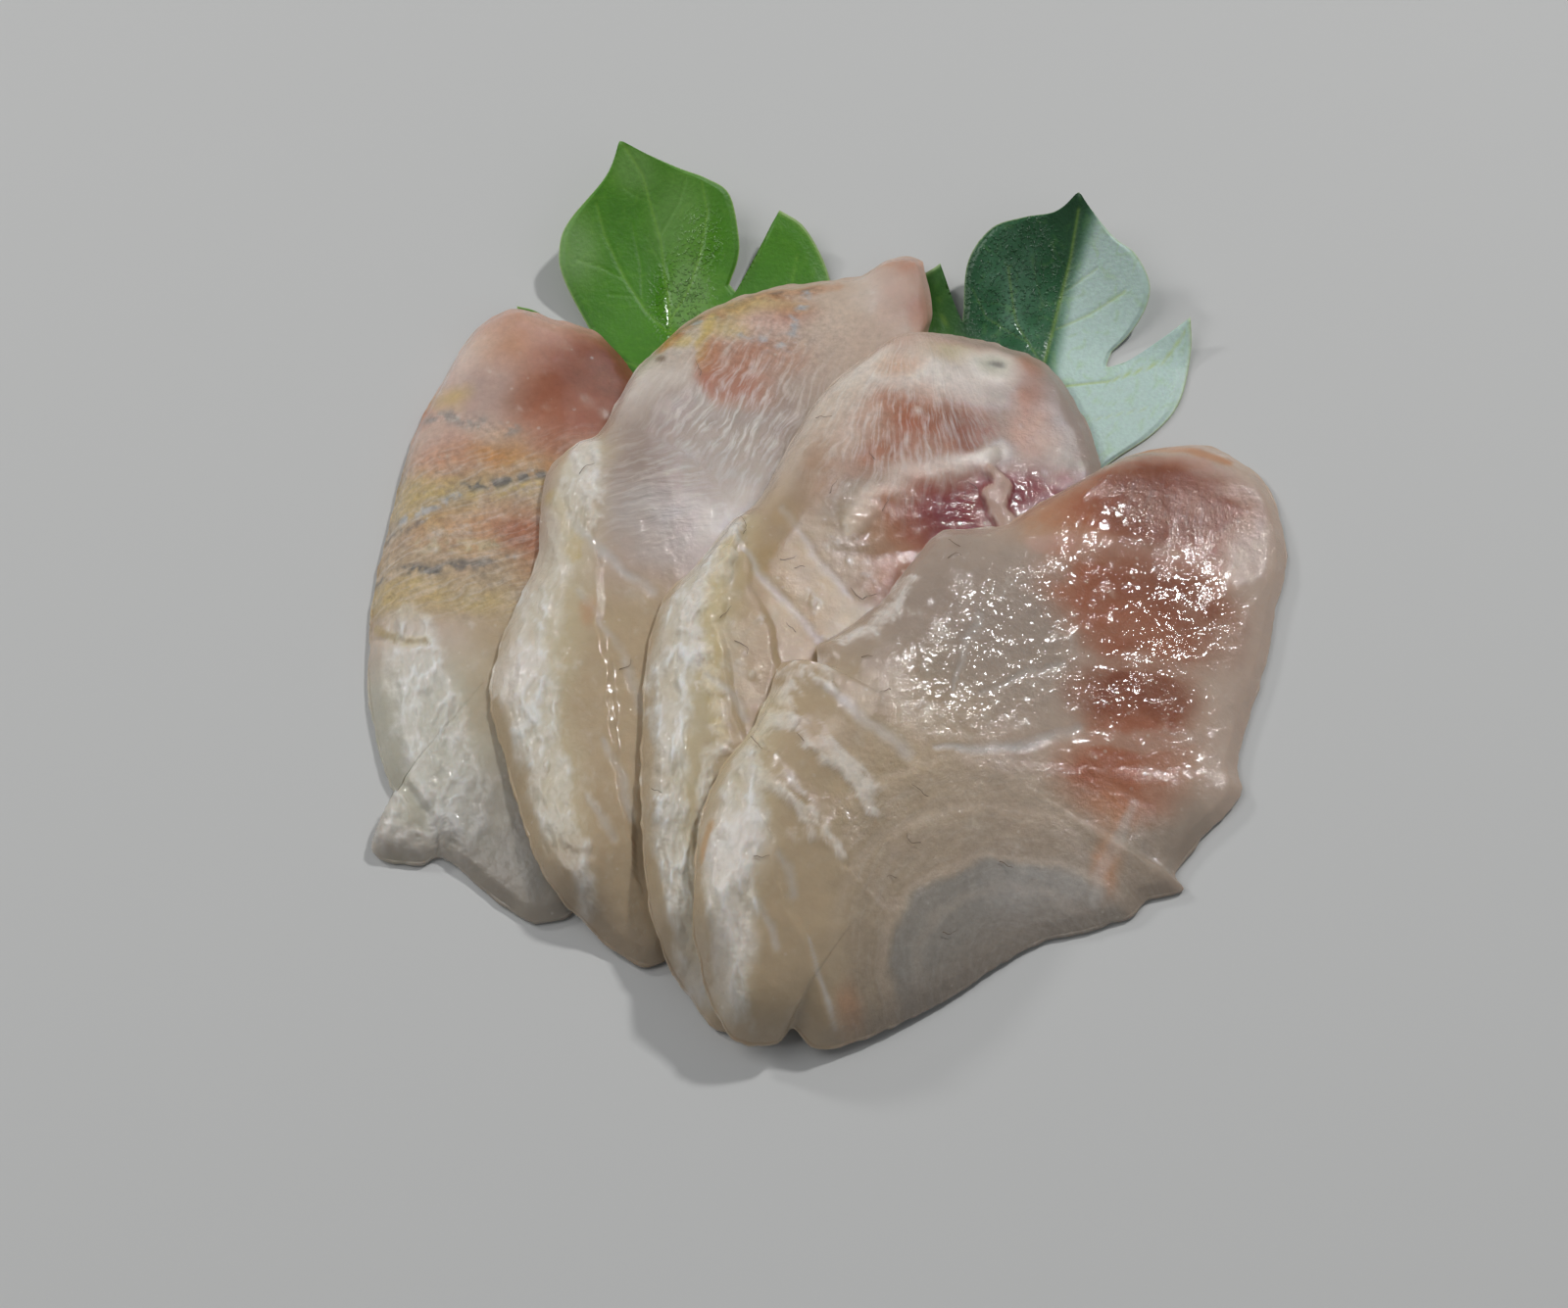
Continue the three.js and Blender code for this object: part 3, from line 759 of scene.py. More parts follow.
# %% Ridge of slice 3
def left_ridge(c):
    """Straw flesh, silver skin in three runs, two ledges, torn lumps and pale sheets."""
    c.wash("straw", 0.7 * c.line_mask([(-4, 13, 3), (-7, 6, 5.5), (-8.5, -4, 6), (-9.5, -16, 5),
                                       (-9.5, -28, 4), (-7, -38, 2)], soft=0.9))
    c.skin([
        (-5.5, 12.5, 1.2), (-7.8, 7, 2), (-10, 1.5, 2.6), (-11, -4, 2.8), (-11.5, -11, 2.6),
        (-11.7, -17.5, 2.4), (-11.5, -23.5, 2.2), (-10.5, -29, 1.9), (-9.2, -33.5, 1.6),
        (-7.2, -38, 1.2),
    ], 0.85)
    c.flake([(-3, -16), (-5, -8), (-6.5, 0), (-5, 8), (-4, 13)], 0.5)
    c.flake([(3, -9), (-0.5, -4), (-3, 4), (-3.4, 9)], 0.35)
    c.skin([(-5, 13, 1), (-5.6, 9, 1.2), (-7.4, 1, 1.4), (-8, -4, 1)], 0.6)
    c.skin([(-7, -14, 1), (-7.6, -22, 1.4), (-8.2, -28, 1)], 0.5)
    c.torn([(-4.6, 14.4, 1), (-5.6, 9, 1.3), (-7.6, 5, 1.2), (-9.4, 0, 1), (-8, -5, 1.1),
            (-6.5, -10, 1), (-5.8, -14.5, 0.6)], 0.3, 0.6)
    c.line("yellow", 0.35, [(-5.5, 10, 1.4), (-6.6, 3, 1.6), (-7.4, -6, 1.6), (-6, -13, 1.2)])
    c.line("honey", 0.8, [(-13.8, -10, 0.6), (-13.8, -18, 0.9), (-13.2, -26, 1),
                          (-11.4, -33, 0.9)])
    c.rim_shade("shade", 0.4, 4, smooth((-26 - c.y) / 8))
    c.septum([(-3.8, 9.1, 0.6), (-0.5, 3.7, 0.9), (3.5, -0.8, 0.9)], 0.6)
    c.septum([(-7.6, -6.6, 0.6), (-4.9, -8.4, 1), (-3.4, -10.8, 0.8)], 0.7)
    c.septum([(0, 15, 0.6), (3, 9, 0.8), (7, 4.6, 0.6)], 0.4)


print("ridge of slice 3:", left_ridge.__doc__)

# %% [markdown]
# ## The top and right of slice 3
#
# Pale threads fan down from the tip of the third slice over an orange-red striped stain.
# A silver ridge, a wet crimson blot and a small torn tab lie at its right, beside slice 4.

# %% Paint slice 3
def paint_slice_3(x, y, inward):
    """Threads over rust, a crimson blot with a torn tab, and a silver ridge."""
    c = FishCanvas(x, y, inward, "flesh", seed=3)
    c.wash("honey", 0.9 * smooth((10 - y) / 8))
    c.wash("lilac", 0.9 * c.spot_mask(25, 28, 9, 11))
    c.wash("shade", 0.8 * c.spot_mask(26, 28, 8, 11))
    c.wash("shade", 0.5 * c.spot_mask(6, 14, 9, 12))
    c.line("cream", 0.9, [(11, 36, 1.4), (5, 29.5, 2.6), (1, 23, 3), (-2, 16, 2.4)])
    c.line("milk", 0.4, [(11, 36.8, 0.9), (4.4, 30, 1), (0.4, 23, 0.9), (-3, 16, 0.7)])
    c.spots(
        ("orange", 0.35, 4, 20, 2, 7, -20), ("milk", 0.45, 8.5, 28, 3.6, 6, -25),
        ("rust", 0.85, 14.5, 26.5, 5.4, 4.6, 15), ("deep_rust", 0.7, 19.4, 27.5, 3.4, 3),
        ("rust", 0.6, 9.5, 22, 3.4, 1.8, 30),
    )
    c.fan(14, 46, 22, 0.95 * c.spot_mask(11, 27, 9.5, 11, soft=0.5))
    c.spots(
        ("milk", 0.8, 15.5, 33, 6.6, 2.6, -8), ("orange", 0.5, 12, 34, 2, 1.4),
        ("rose", 0.5, 17, 37, 8, 1.6, -4), ("rust", 0.85, 26.3, 29.5, 2, 5),
        ("orange", 0.6, 26.3, 26.5, 2.2, 2.4), ("rust", 0.6, 26.5, 36.2, 1.6, 1.6),
        ("straw", 0.7, 18.5, 36.2, 4, 1.2), ("milk", 1.0, 22.6, 35, 3, 2),
        ("pale_green", 0.9, 22.6, 35.5, 1.5, 1.0), ("slate", 0.6, 22.9, 35.6, 0.7, 0.35),
        ("milk", 0.25, 22, 30.5, 2.6, 1.4), ("lilac", 0.6, 29, 26, 4, 8),
    )
    c.line("milk", 0.95, [(6.5, 12.5, 1), (9, 16, 2.6), (13, 19.2, 2.6), (18, 21.8, 2.2),
                          (23, 24, 1.8)], soft=0.9)
    c.relief += 0.3 * c.line_mask([(7, 13.5, 1.6), (9.6, 17, 3), (13.4, 19.6, 2.8),
                                   (18.4, 22, 2.2), (22, 23.6, 1.4)], soft=1.0)
    c.relief += 0.35 * creases(c.bx, 2 * c.by, 2.4, 3, 55) * c.spot_mask(11, 17, 7, 4, turn=30)
    c.spots(
        ("orange", 0.6, 11.5, 12, 3.4, 4), ("rust", 0.8, 14.6, 14.6, 3.4, 3.4),
        ("rust", 0.5, 10.5, 7, 2.8, 3), ("rust", 0.7, 17, 15.6, 6, 4.4),
    )
    bloody = c.spot("crimson", 1.1, 18.2, 15.2, 4, 3.4)
    bloody += c.spot("crimson", 1.1, 25, 19.8, 5.4, 2.4, turn=12)
    c.fibrous *= 1 - 0.8 * np.clip(bloody, 0, 1)
    c.relief += 0.35 * mottle(x, y, 1.6, 3, 33) * c.spot_mask(10.5, 9.5, 4, 7)
    tab = c.line_mask([(21.6, 21.4, 1.4), (22.6, 20.4, 1.2), (21.6, 18.6, 1.6),
                       (22.6, 16.4, 1.3), (23.6, 14.6, 2), (24.6, 12.8, 1.4)], soft=0.7)
    tab = smooth((tab + 0.9 * (mottle(x, y, 1.4, 3, 52) - 0.5)) / 0.8) * smooth(3 * tab)
    c.wash("rim", 0.9 * tab)
    c.wash("rose", 0.5 * tab * mottle(x, y, 1.2, 3, 53))
    c.relief += 0.7 * tab * (0.6 + 0.8 * mottle(x, y, 1.4, 3, 54))
    c.spots(
        ("amber", 0.6, 21.4, 11, 1.2, 1.2), ("tan", 0.9, 0, 5, 7, 10),
    )
    left_ridge(c)
    c.grit = np.maximum(c.grit, 0.5 * c.spot_mask(12, 28, 11, 10))
    c.wet += 0.9 * c.spot_mask(18.5, 15, 4.5, 4) + 1.0 * c.spot_mask(26, 19.5, 5, 3)
    c.wet += 0.3 * c.spot_mask(12, 12, 5, 6) + 0.2 * c.spot_mask(22, 30, 8, 5)
    c.wet *= 1 - 0.7 * tab
    return c


try_out("slice_3", paint_slice_3)

# %% [markdown]
# ## Slice 4
#
# The top slice shows most. Two things give it away as muscle: grey rings that curve through
# its lower right, as in a sawn trunk, and white torn ridges with pale sheets between the
# muscles at its left. The rings are one distance from a centre past the edge, which keeps
# them parallel.

# %% Rings and tears of slice 4
RINGS_AT = (24.0, -36.0)
RING_LINES = ((22.5, 0.2), (17.5, 0.3), (12.6, 0.4), (9.8, 0.25))


def muscle_rings(c):
    """Flesh turns greyer in steps towards the centre, with a pale line at each ring."""
    around = np.hypot((c.bx - RINGS_AT[0]) * 0.9, c.by - RINGS_AT[1])
    low = smooth((-10 - c.y) / 6) * smooth((c.x - 3) / 5) * smooth((40 - c.x) / 5)
    c.wash("ring", 0.6 * low * smooth((23 - around) / 3))
    c.wash("shade", 0.22 * low * smooth((17 - around) / 1.5))
    c.wash("grey", 0.75 * low * smooth((12.6 - around) / 1.2))
    for radius, strong in RING_LINES:
        arc = smooth((0.8 - np.abs(around - radius)) / 0.8) * low
        c.wash("cream", strong * arc)
        c.relief -= 0.05 * arc
    c.spot("pearl", 0.35, 26, -27, 5.5, 3)
    c.rings(*RINGS_AT, 14, 0.15 * low * smooth((24 - around) / 4))
    c.grit = np.maximum(c.grit, 0.35 * low)


def sheets_and_tears(c):
    """Pale sheets between the muscles, then torn ridges, then the ledges below them."""
    c.septum([(15.5, -13.9, 0.6), (19.5, -13.1, 0.9), (24.5, -11.6, 0.9), (29, -9.6, 1.1)], 0.8)
    c.septum([(28.2, -2.1, 0.5), (23.6, -4.7, 0.7), (19.6, -6.7, 0.6)], 0.4)
    c.septum([(16.5, -6.6, 0.5), (18.2, -2, 0.7), (19.8, 2.1, 0.6)], 0.5)
    c.septum([(4.4, -8.8, 0.8), (7.7, -11.4, 1.2), (12.1, -14.4, 1.2)], 0.8)
    c.septum([(-0.9, -27, 0.6), (0.5, -28.6, 0.9), (1.1, -31, 0.8)], 0.5)
    c.septum([(-2.4, -32.2, 0.6), (-1.1, -33.9, 0.9), (-0.8, -35.7, 0.8)], 0.6)
    c.septum([(2.6, -34.9, 0.4), (3.8, -38.1, 0.6), (4.7, -41, 0.5)], 0.8)
    c.torn([(2, -12.7, 0.9), (3.8, -15.2, 1.5), (6.7, -17.4, 1.4), (8.2, -19.2, 1.3),
            (8.8, -21.2, 0.8)])
    c.torn([(0.2, -19.4, 0.8), (1.4, -21.8, 1.1), (2.9, -24, 1.3), (4.3, -25.2, 0.9),
            (5.6, -26.4, 0.5)])
    c.torn([(0.6, -6.4, 1.4), (-0.4, -10, 1.8), (-0.8, -12, 1.6), (1, -13, 1)])
    c.torn([(-1.8, -12.5, 1.3), (-3, -15.6, 1.7), (-1.7, -19, 1.5), (-0.3, -20.4, 1)])
    c.torn([(3.9, -4, 1), (3.8, -7.4, 1.2), (4.6, -8.8, 0.8)])
    c.torn([(6, -2, 1), (9, -0.6, 1.3), (10.6, 2.4, 1.2), (13, 6, 1)], 0.25, 0.6)
    c.flake([(9, -22), (7, -18), (3, -14), (1.5, -12)], 0.4)
    c.flake([(6, -27), (3, -24), (0.5, -20), (-1, -17)], 0.5)
    c.flake([(14, -16), (8, -11.6), (4, -7)], 0.3, 4)
    c.flake([(5, -42), (3, -36), (0, -30), (-1.6, -26)], 0.4, 3)


print(len(RING_LINES), "muscle rings round", RINGS_AT)

# %% [markdown]
# ## Slice 4: stains, rim and wetness
#
# Its right edge is a pale translucent band, red-brown stains run down beside it, and wet
# glitter covers the middle. The lower left is cream amber, with silver skin on the flank.

# %% Paint slice 4
def paint_slice_4(x, y, inward):
    """Stains down the right, glitter mid, torn ridges left, and rings low right."""
    c = FishCanvas(x, y, inward, "flesh", seed=4)
    c.wash("honey", 0.9 * smooth((2 - y) / 12) * smooth((24 - x) / 12))
    c.wash("lilac", 0.4 * c.spot_mask(20, 4, 12, 8))
    c.wash("shade", 0.5 * c.spot_mask(19, 2, 14, 12))
    muscle_rings(c)
    c.spot("shade", 0.6, 39, -21, 8, 6)
    c.line("rim", 0.95, [(36, 25, 2), (42.5, 24.5, 3.4), (48, 21, 4.4), (50, 13, 5),
                         (48.4, 5, 4.6), (46.5, -2, 4), (44.5, -9, 3.4), (43.5, -14, 3)])
    c.line("rose", 0.6, [(31, 19.5, 1.4), (36, 22.5, 1.8), (44, 24.5, 1.6)])
    c.line("orange", 0.7, [(36.5, 25.6, 0.8), (42, 26.6, 1.1), (47, 25, 0.8)])
    c.spots(
        ("orange", 0.8, 29, 14.6, 4.6, 3, 15), ("rust", 1.2, 34, 16.4, 5.4, 3.2, 10),
        ("deep_rust", 1.7, 40.5, 18, 6.4, 4.6), ("deep_rust", 0.7, 44, 16.5, 2.4, 5),
    )
    c.fibres(84, 0.12 * c.spot_mask(40, 18, 7, 5))
    c.line("rose", 0.6, [(26, 11, 1.6), (34, 11, 2), (44, 10.4, 1.6)])
    c.spots(
        ("rust", 1.0, 33, 6.2, 5.4, 4.6), ("deep_rust", 1.0, 39.6, 5, 5.6, 5.6),
        ("rust", 0.8, 36, 1.5, 5, 4), ("deep_rust", 1.2, 35.6, -5.6, 5.2, 4.2),
        ("rust", 0.7, 36, -9.5, 4.6, 2.6), ("rust", 1.2, 33.6, -14, 5.2, 3.8),
        ("orange", 0.6, 33, -17.4, 2.8, 2), ("orange", 0.8, 32.2, -23.5, 1.2, 2.8),
    )
    c.line("pearl", 0.4, [(35, -16.5, 0.9), (33, -21, 1.3), (31.6, -25, 1.1), (31, -27.5, 0.8)])
    sheets_and_tears(c)
    c.wash("straw", 0.6 * c.line_mask([(-2, -10, 3), (-4, -20, 5), (-5.5, -30, 5),
                                       (-5, -39, 3)], soft=0.9))
    c.skin([(-3.6, -16.5, 1.8), (-3.6, -21, 2.2), (-4.6, -26, 3), (-5.2, -31, 3.2),
            (-5.6, -36, 2.6), (-5.2, -40, 1.6)])
    c.spots(
        ("milk", 0.8, -4.8, -26.5, 2.6, 3.6), ("milk", 0.7, -5.2, -35, 2, 3.2),
    )
    c.line("amber", 0.45, [(-7, -23.6, 0.6), (-7.8, -26.8, 0.6)])
    c.line("honey", 0.8, [(-8.2, -25, 0.8), (-8.3, -32, 0.9), (-7.4, -37.5, 0.9)])
    c.spot("orange", 0.5, 6.2, -39.8, 1.2, 1.8)
    c.rim_shade("shade", 0.6, 7, smooth((-22 - y) / 8) * smooth((x - 6) / 8))
    c.rim_shade("shade", 0.35, 4, smooth((-30 - y) / 6))
    c.wash("rim", 0.35 * c.line_mask([(28, -1, 1), (36, -1.6, 1.6), (43, -1, 1)]))
    c.wash("rim", 0.45 * c.line_mask([(28, -10.5, 1), (36, -10.4, 1.3), (42, -9, 1)]))
    c.wet += (
        1.4 * c.spot_mask(19.5, 1, 9, 7) + c.spot_mask(36.7, 3.5, 8, 6.4)
        + 0.7 * c.spot_mask(29.8, 14.5, 5, 4)
        + 0.8 * c.spot_mask(35, -7.5, 9, 7) + 0.7 * c.spot_mask(41, -14, 7, 4.5)
        + 0.7 * c.spot_mask(31.5, -12, 7, 4) + 0.4 * c.spot_mask(37, 11, 9, 2.5)
        + 0.5 * c.spot_mask(1.5, -40.5, 6, 2)
    )
    return c


try_out("slice_4", paint_slice_4)

# %% [markdown]
# ## From arrays to a mesh
#
# A mesh could be filled point by point, but foreach_set takes whole arrays and is many times
# quicker. Colour and finish are stored on the points as attributes: one number, one vector
# or one colour each. The materials read them later.

# %% Mesh helpers
LAYERS = {1: ("FLOAT", "value"), 3: ("FLOAT_VECTOR", "vector"), 4: ("FLOAT_COLOR", "color")}


def add_mesh(name, points, polygons):
    """Mesh object from layout points and lists of equal-sided polygon arrays."""
    mesh = bpy.data.meshes.new(name)
    mesh.vertices.add(len(points))
    mesh.vertices.foreach_set("co", to_model(points).astype(np.float32).ravel())
    corners = np.concatenate([p.ravel() for p in polygons]).astype(np.int32)
    totals = np.concatenate([np.full(len(p), p.shape[1]) for p in polygons]).astype(np.int32)
    mesh.loops.add(len(corners))
    mesh.loops.foreach_set("vertex_index", corners)
    mesh.polygons.add(len(totals))
    starts = np.concatenate([[0], np.cumsum(totals)[:-1]]).astype(np.int32)
    mesh.polygons.foreach_set("loop_start", starts)
    mesh.polygons.foreach_set("use_smooth", np.ones(len(totals), bool))
    mesh.update(calc_edges=True)
    mesh.validate()
    piece = bpy.data.objects.new(name, mesh)
    bpy.context.scene.collection.objects.link(piece)
    return piece


def put_values(piece, name, values):
    """A number, a vector or a colour at every point, for the materials to read."""
    kind, field = LAYERS[1 if values.ndim == 1 else values.shape[1]]
    layer = piece.data.attributes.new(name, kind, "POINT")
    layer.data.foreach_set(field, values.astype(np.float32).ravel())


def to_linear(colour):
    """Screen colour from 0 to 1 to linear light, with a full alpha."""
    colour = np.clip(colour, 0, 1)
    linear = np.where(colour <= 0.04045, colour / 12.92, ((colour + 0.055) / 1.055) ** 2.4)
    return np.concatenate([linear, np.ones((len(linear), 1))], axis=1)


# %% [markdown]
# ## How a slice's skin rests
#
# Where a slice lies on other food, its rim is let down a little, so that no gap shows. Its
# middle evens out the steps below it. The mesh itself is a stack of closed rings, which
# keeps every seam shut: quads join the rings, and a fan of triangles closes each end.

# %% Rings and rest
SETTLE = 0.3
EVEN_STEPS = 110


def ring_polygons(count, around):
    """Quads between neighbouring rings and a fan of triangles at each end."""
    k = 1 + np.arange(count * around).reshape(count, around)
    after = np.roll(k, -1, axis=1)
    quads = np.stack([k[:-1], k[1:], after[1:], after[:-1]], -1).reshape(-1, 4)
    first = np.stack([np.zeros(around, int), k[0], after[0]], -1)
    last = np.stack([np.full(around, count * around + 1), after[-1], k[-1]], -1)
    return [quads, first, last]


def resting(base, x, y, inward):
    """The base, let down by SETTLE near the rim wherever it lies on other food."""
    z = sample(base, x, y)
    return z - SETTLE * smooth(z / 1.2) * (1 - smooth(inward / 3))


def evened(base):
    """Soft flesh evens out what lies below: a copy blurred by many small means."""
    even = base.copy()
    for _ in range(EVEN_STEPS):
        even[1:-1, 1:-1] = np.mean(four_neighbours(even), axis=0)
    return even


print("three rings of six points make", sum(len(p) for p in ring_polygons(3, 6)), "faces")

# %% [markdown]
# ## The four slices
#
# The rings run from the slice's middle outwards over the top, round the cut edge, and back
# inwards underneath. They are the outline shrunk towards the middle, and they crowd towards
# the rim, where the surface bends most. A sculpted mesh could look the same, but this one
# follows the packed model to a fraction of a millimetre.

# %% Rim, top and underside
SPOKES = 480
TOP_RINGS = 160
WALL_RINGS = 5
LOW_RINGS = 12
CROWDING = 1.4
BULGE = 0.2
THIN_RIM = 0.55
RIM_WAVE = 0.6
BROAD_SWELL = 0.5
FINE_ROUGH = 0.12
SOFT_RIM = 0.75
RIM_SPREAD = (4.0, 1.4)
PAINTERS = {
    "slice_1": paint_slice_1, "slice_2": paint_slice_2,
    "slice_3": paint_slice_3, "slice_4": paint_slice_4,
}


def rim_of(shape):
    """The outline at even steps, moved in and out a little by noise, its outward
    directions, and the middle that they start from."""
    middle = np.array(shape["middle"], float)
    rim = evenly(curve_through(shape["outline"], closed=True), SPOKES, closed=True)
    outward = (rim - middle) / np.hypot(*(rim - middle).T)[:, None]
    wave = mottle(rim[:, 0], rim[:, 1], 1.6, 3, 61) - 0.5
    return middle, rim + outward * RIM_WAVE * wave[:, None], outward


def top_of(name, x, y):
    """Height of the top: the base evened out inwards, plus thickness, plus relief."""
    base = BASES[name]
    thick, inward = thickness(SLICES[name], x, y, SOFT_RIM, RIM_SPREAD)
    canvas = PAINTERS[name](x, y, inward)
    patchy = smooth((mottle(x, y, 3.4, 3, 45) - 0.36) / 0.22)
    canvas.wet = (canvas.wet + 0.2 * patchy) * mix(0.25, 1, patchy) * smooth((inward - 2) / 6)
    broad = BROAD_SWELL * (mottle(x, y, 11, 2, 71) - 0.5)
    rough = FINE_ROUGH * (mottle(x, y, 1.8, 3, 72) - 0.5)
    relief = (canvas.relief + broad + rough) * smooth((inward + 0.2) / 1.6)
    thin = (RIM - THIN_RIM) * (1 - smooth(inward / 1.5))
    plain = sample(base, x, y)
    over = mix(plain, sample(evened(base), x, y), smooth((inward - 1) / 9))
    top = over + resting(base, x, y, inward) - plain
    return top + (np.maximum(thick, RIM) - thin + relief), canvas


def wall_and_underside(base, middle, rim, outward, high):
    """Wall: half an ellipse down from the top's edge. Underside: the base, ring by ring."""
    low = resting(base, rim[:, 0], rim[:, 1], np.zeros(SPOKES))
    rings = []
    for k in range(1, WALL_RINGS + 1):
        angle = np.pi * k / (WALL_RINGS + 1)
        out = rim + outward * BULGE * np.sin(angle)
        z = mix(low, high, 0.5 + 0.5 * np.cos(angle))
        rings.append(np.column_stack([out, z])[None])
    inwards = np.linspace(1, 0, LOW_RINGS + 1)[:-1]
    under = middle + inwards[:, None, None] * (rim - middle)
    depth = (1 - inwards)[:, None] * np.hypot(*(rim - middle).T)
    z = resting(base, under[..., 0], under[..., 1], depth)
    return rings + [np.concatenate([under, z[..., None]], axis=-1)]


for name, shape in SLICES.items():
    middle, rim, _ = rim_of(shape)
    print(name, "reaches", np.hypot(*(rim - middle).T).max().round(1), "mm from its middle")

# %% [markdown]
# ## Putting a slice together
#
# The rings are stacked, closed with a point at each end, and joined by faces. The canvas is
# then stored on the points; wall and underside take the colour of the rim beside them.

# %% Build the slices
def build_slice(name):
    """Rings of the top, the wall and the underside, with a point at each middle."""
    middle, rim, outward = rim_of(SLICES[name])
    way = 1 - (1 - np.linspace(0, 1, TOP_RINGS + 1)) ** CROWDING
    flat = middle + way[:, None, None] * (rim - middle)
    x, y = flat[..., 0].ravel(), flat[..., 1].ravel()
    top, canvas = top_of(name, x, y)
    over = np.stack([x, y, top], 1).reshape(TOP_RINGS + 1, SPOKES, 3)[1:]
    rest = wall_and_underside(BASES[name], middle, rim, outward, over[-1][:, 2])
    rings = np.concatenate([over] + rest)
    centre_top = [*middle, float(top[0])]
    centre_low = [*middle, float(sample(BASES[name], middle[:1], middle[1:])[0])]
    points = np.vstack([[centre_top], rings.reshape(-1, 3), [centre_low]])
    piece = add_mesh(f"{name}_flesh", points, ring_polygons(len(rings), SPOKES))

    tail = np.arange(len(points) - 2 - TOP_RINGS * SPOKES) % SPOKES + TOP_RINGS * SPOKES
    order = np.concatenate([[0], np.arange(SPOKES, x.size), tail, [0]])
    put_values(piece, "flesh", to_linear(canvas.colour)[order])
    put_values(piece, "grain", canvas.grain[order])
    for key in ("silver", "wet", "grit", "fibrous"):
        put_values(piece, key, np.clip(getattr(canvas, key), 0, 1)[order])
    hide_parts(name)
    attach(piece, "root")
    print(piece.name, len(points), "points, top at", round(float(points[:, 2].max()), 1), "mm")
    return piece


FLESH_PIECES = [build_slice(name) for name in SLICES]

# %% [markdown]
# ## Leaf mesh
#
# A leaf could be cut out of a flat sheet, but its cut edge would be rough and its veins
# would not follow it. So it is a grid across its spine: every row runs from the left edge
# over the spine to the right edge, and the rows move from the foot to the tip, sweeping out
# and back along the side lobes.

# %% Leaf grid
ROWS = 230
HALF = 80
EDGE_POINTS = 200
BREAKS = (0.0, 0.34, 0.46, 0.52, 1.0)
def edge_by_row(runs, v):
    """An edge's point for each row: run k is swept while v goes from break k to k + 1."""
    out = np.zeros((len(v), 2))
    for run, start, end in zip(runs, BREAKS[:-1], BREAKS[1:]):
        part = (v >= start) & (v <= end)
        curve = evenly(curve_through(run, closed=False), EDGE_POINTS, closed=False)
        t, steps = (v[part] - start) / (end - start) * (EDGE_POINTS - 1), np.arange(EDGE_POINTS)
        out[part] = np.stack([np.interp(t, steps, curve[:, k]) for k in (0, 1)], 1)
    return out


def leaf_grid(leaf):
    """Layout x and y of every grid point, as rows by columns."""
    v = np.linspace(0, 1, ROWS)
    left, right = edge_by_row(leaf["left"], v), edge_by_row(leaf["right"], v)
    spine = evenly(curve_through(leaf["spine"], closed=False), ROWS, closed=False)
    t = np.linspace(0, 1, HALF + 1)[:, None]
    first = left[:, None] + (spine - left)[:, None] * t
    second = spine[:, None] + (right - spine)[:, None] * t[1:]
    grid = np.concatenate([first, second], axis=1)
    return grid[..., 0], grid[..., 1]


print("each leaf has", ROWS, "rows of", 2 * HALF + 1, "points")

# %% [markdown]
# ## Veins
#
# A leaf's veins are shallow grooves with a pale line in them: a strong midrib, thinner side
# veins, and a faint net between. The ribs are drawn as short chains of points, each
# with its width in millimetres, because they have to branch where real ones do.

# %% Veins
def near_line(x, y, path, width):
    """1 on a polyline, falling smoothly to 0 at the width."""
    best = np.zeros(x.shape)
    for start, end in zip(path[:-1], path[1:]):
        _, off_x, off_y = off_stretch(x, y, start, end)
        best = np.maximum(best, 1 - smooth(np.hypot(off_x, off_y) / width))
    return best


VEINS = {
    "leaf_left": [
        ([(-11.6, 24), (-12, 38), (-12.6, 46), (-13.5, 53), (-15.5, 59.5), (-17.5, 62)], 0.5),
        ([(-11.8, 41.5), (-15, 45), (-17.5, 48.8), (-19.6, 53), (-20.5, 56)], 0.45),
        ([(-12.4, 44), (-10.5, 47.5), (-9.2, 51.5), (-8.4, 56), (-9, 59)], 0.4),
        ([(-17.2, 48.4), (-20, 49.5), (-22.5, 50)], 0.3), ([(-16, 46.6), (-19, 46.6)], 0.3),
        ([(-15.4, 45.6), (-15.6, 50), (-16.6, 54.5)], 0.3), ([(-13.2, 50), (-15, 53.5)], 0.25),
        ([(-13.6, 53.5), (-11.5, 57), (-10.5, 60)], 0.25), ([(-10, 49), (-7, 52)], 0.25),
        ([(-11.7, 34), (-16, 38), (-22, 41), (-27, 43.5)], 0.4),
        ([(-11.8, 36), (-4, 41), (0.5, 47), (1.5, 52)], 0.4), ([(-1.5, 43.8), (3, 46)], 0.3),
        ([(0.6, 47.4), (3.6, 50)], 0.25), ([(-14, 56.5), (-17.5, 58)], 0.25),
    ],
    "leaf_right": [
        ([(23, 20), (26.2, 32), (28, 38), (29.8, 45), (31.2, 50), (32, 54)], 0.6),
        ([(28, 38), (25.2, 43.5), (24.4, 49)], 0.35), ([(26.5, 41), (22, 44), (20.5, 47)], 0.3),
        ([(29.2, 42.5), (33, 44), (37, 46)], 0.35), ([(30.2, 46.5), (34, 48.5)], 0.3),
        ([(28.2, 45), (27, 49.5)], 0.25), ([(27, 35), (35, 36), (41, 38.5), (43.4, 41.5)], 0.4),
        ([(26.4, 33), (33, 31), (39, 32.5)], 0.3), ([(26, 31), (19, 38), (16.8, 46)], 0.4),
        ([(17.6, 42), (15, 43.6)], 0.25), ([(30.8, 48.5), (29, 51.5)], 0.25),
    ],
}


print({name: len(veins) for name, veins in VEINS.items()}, "veins")
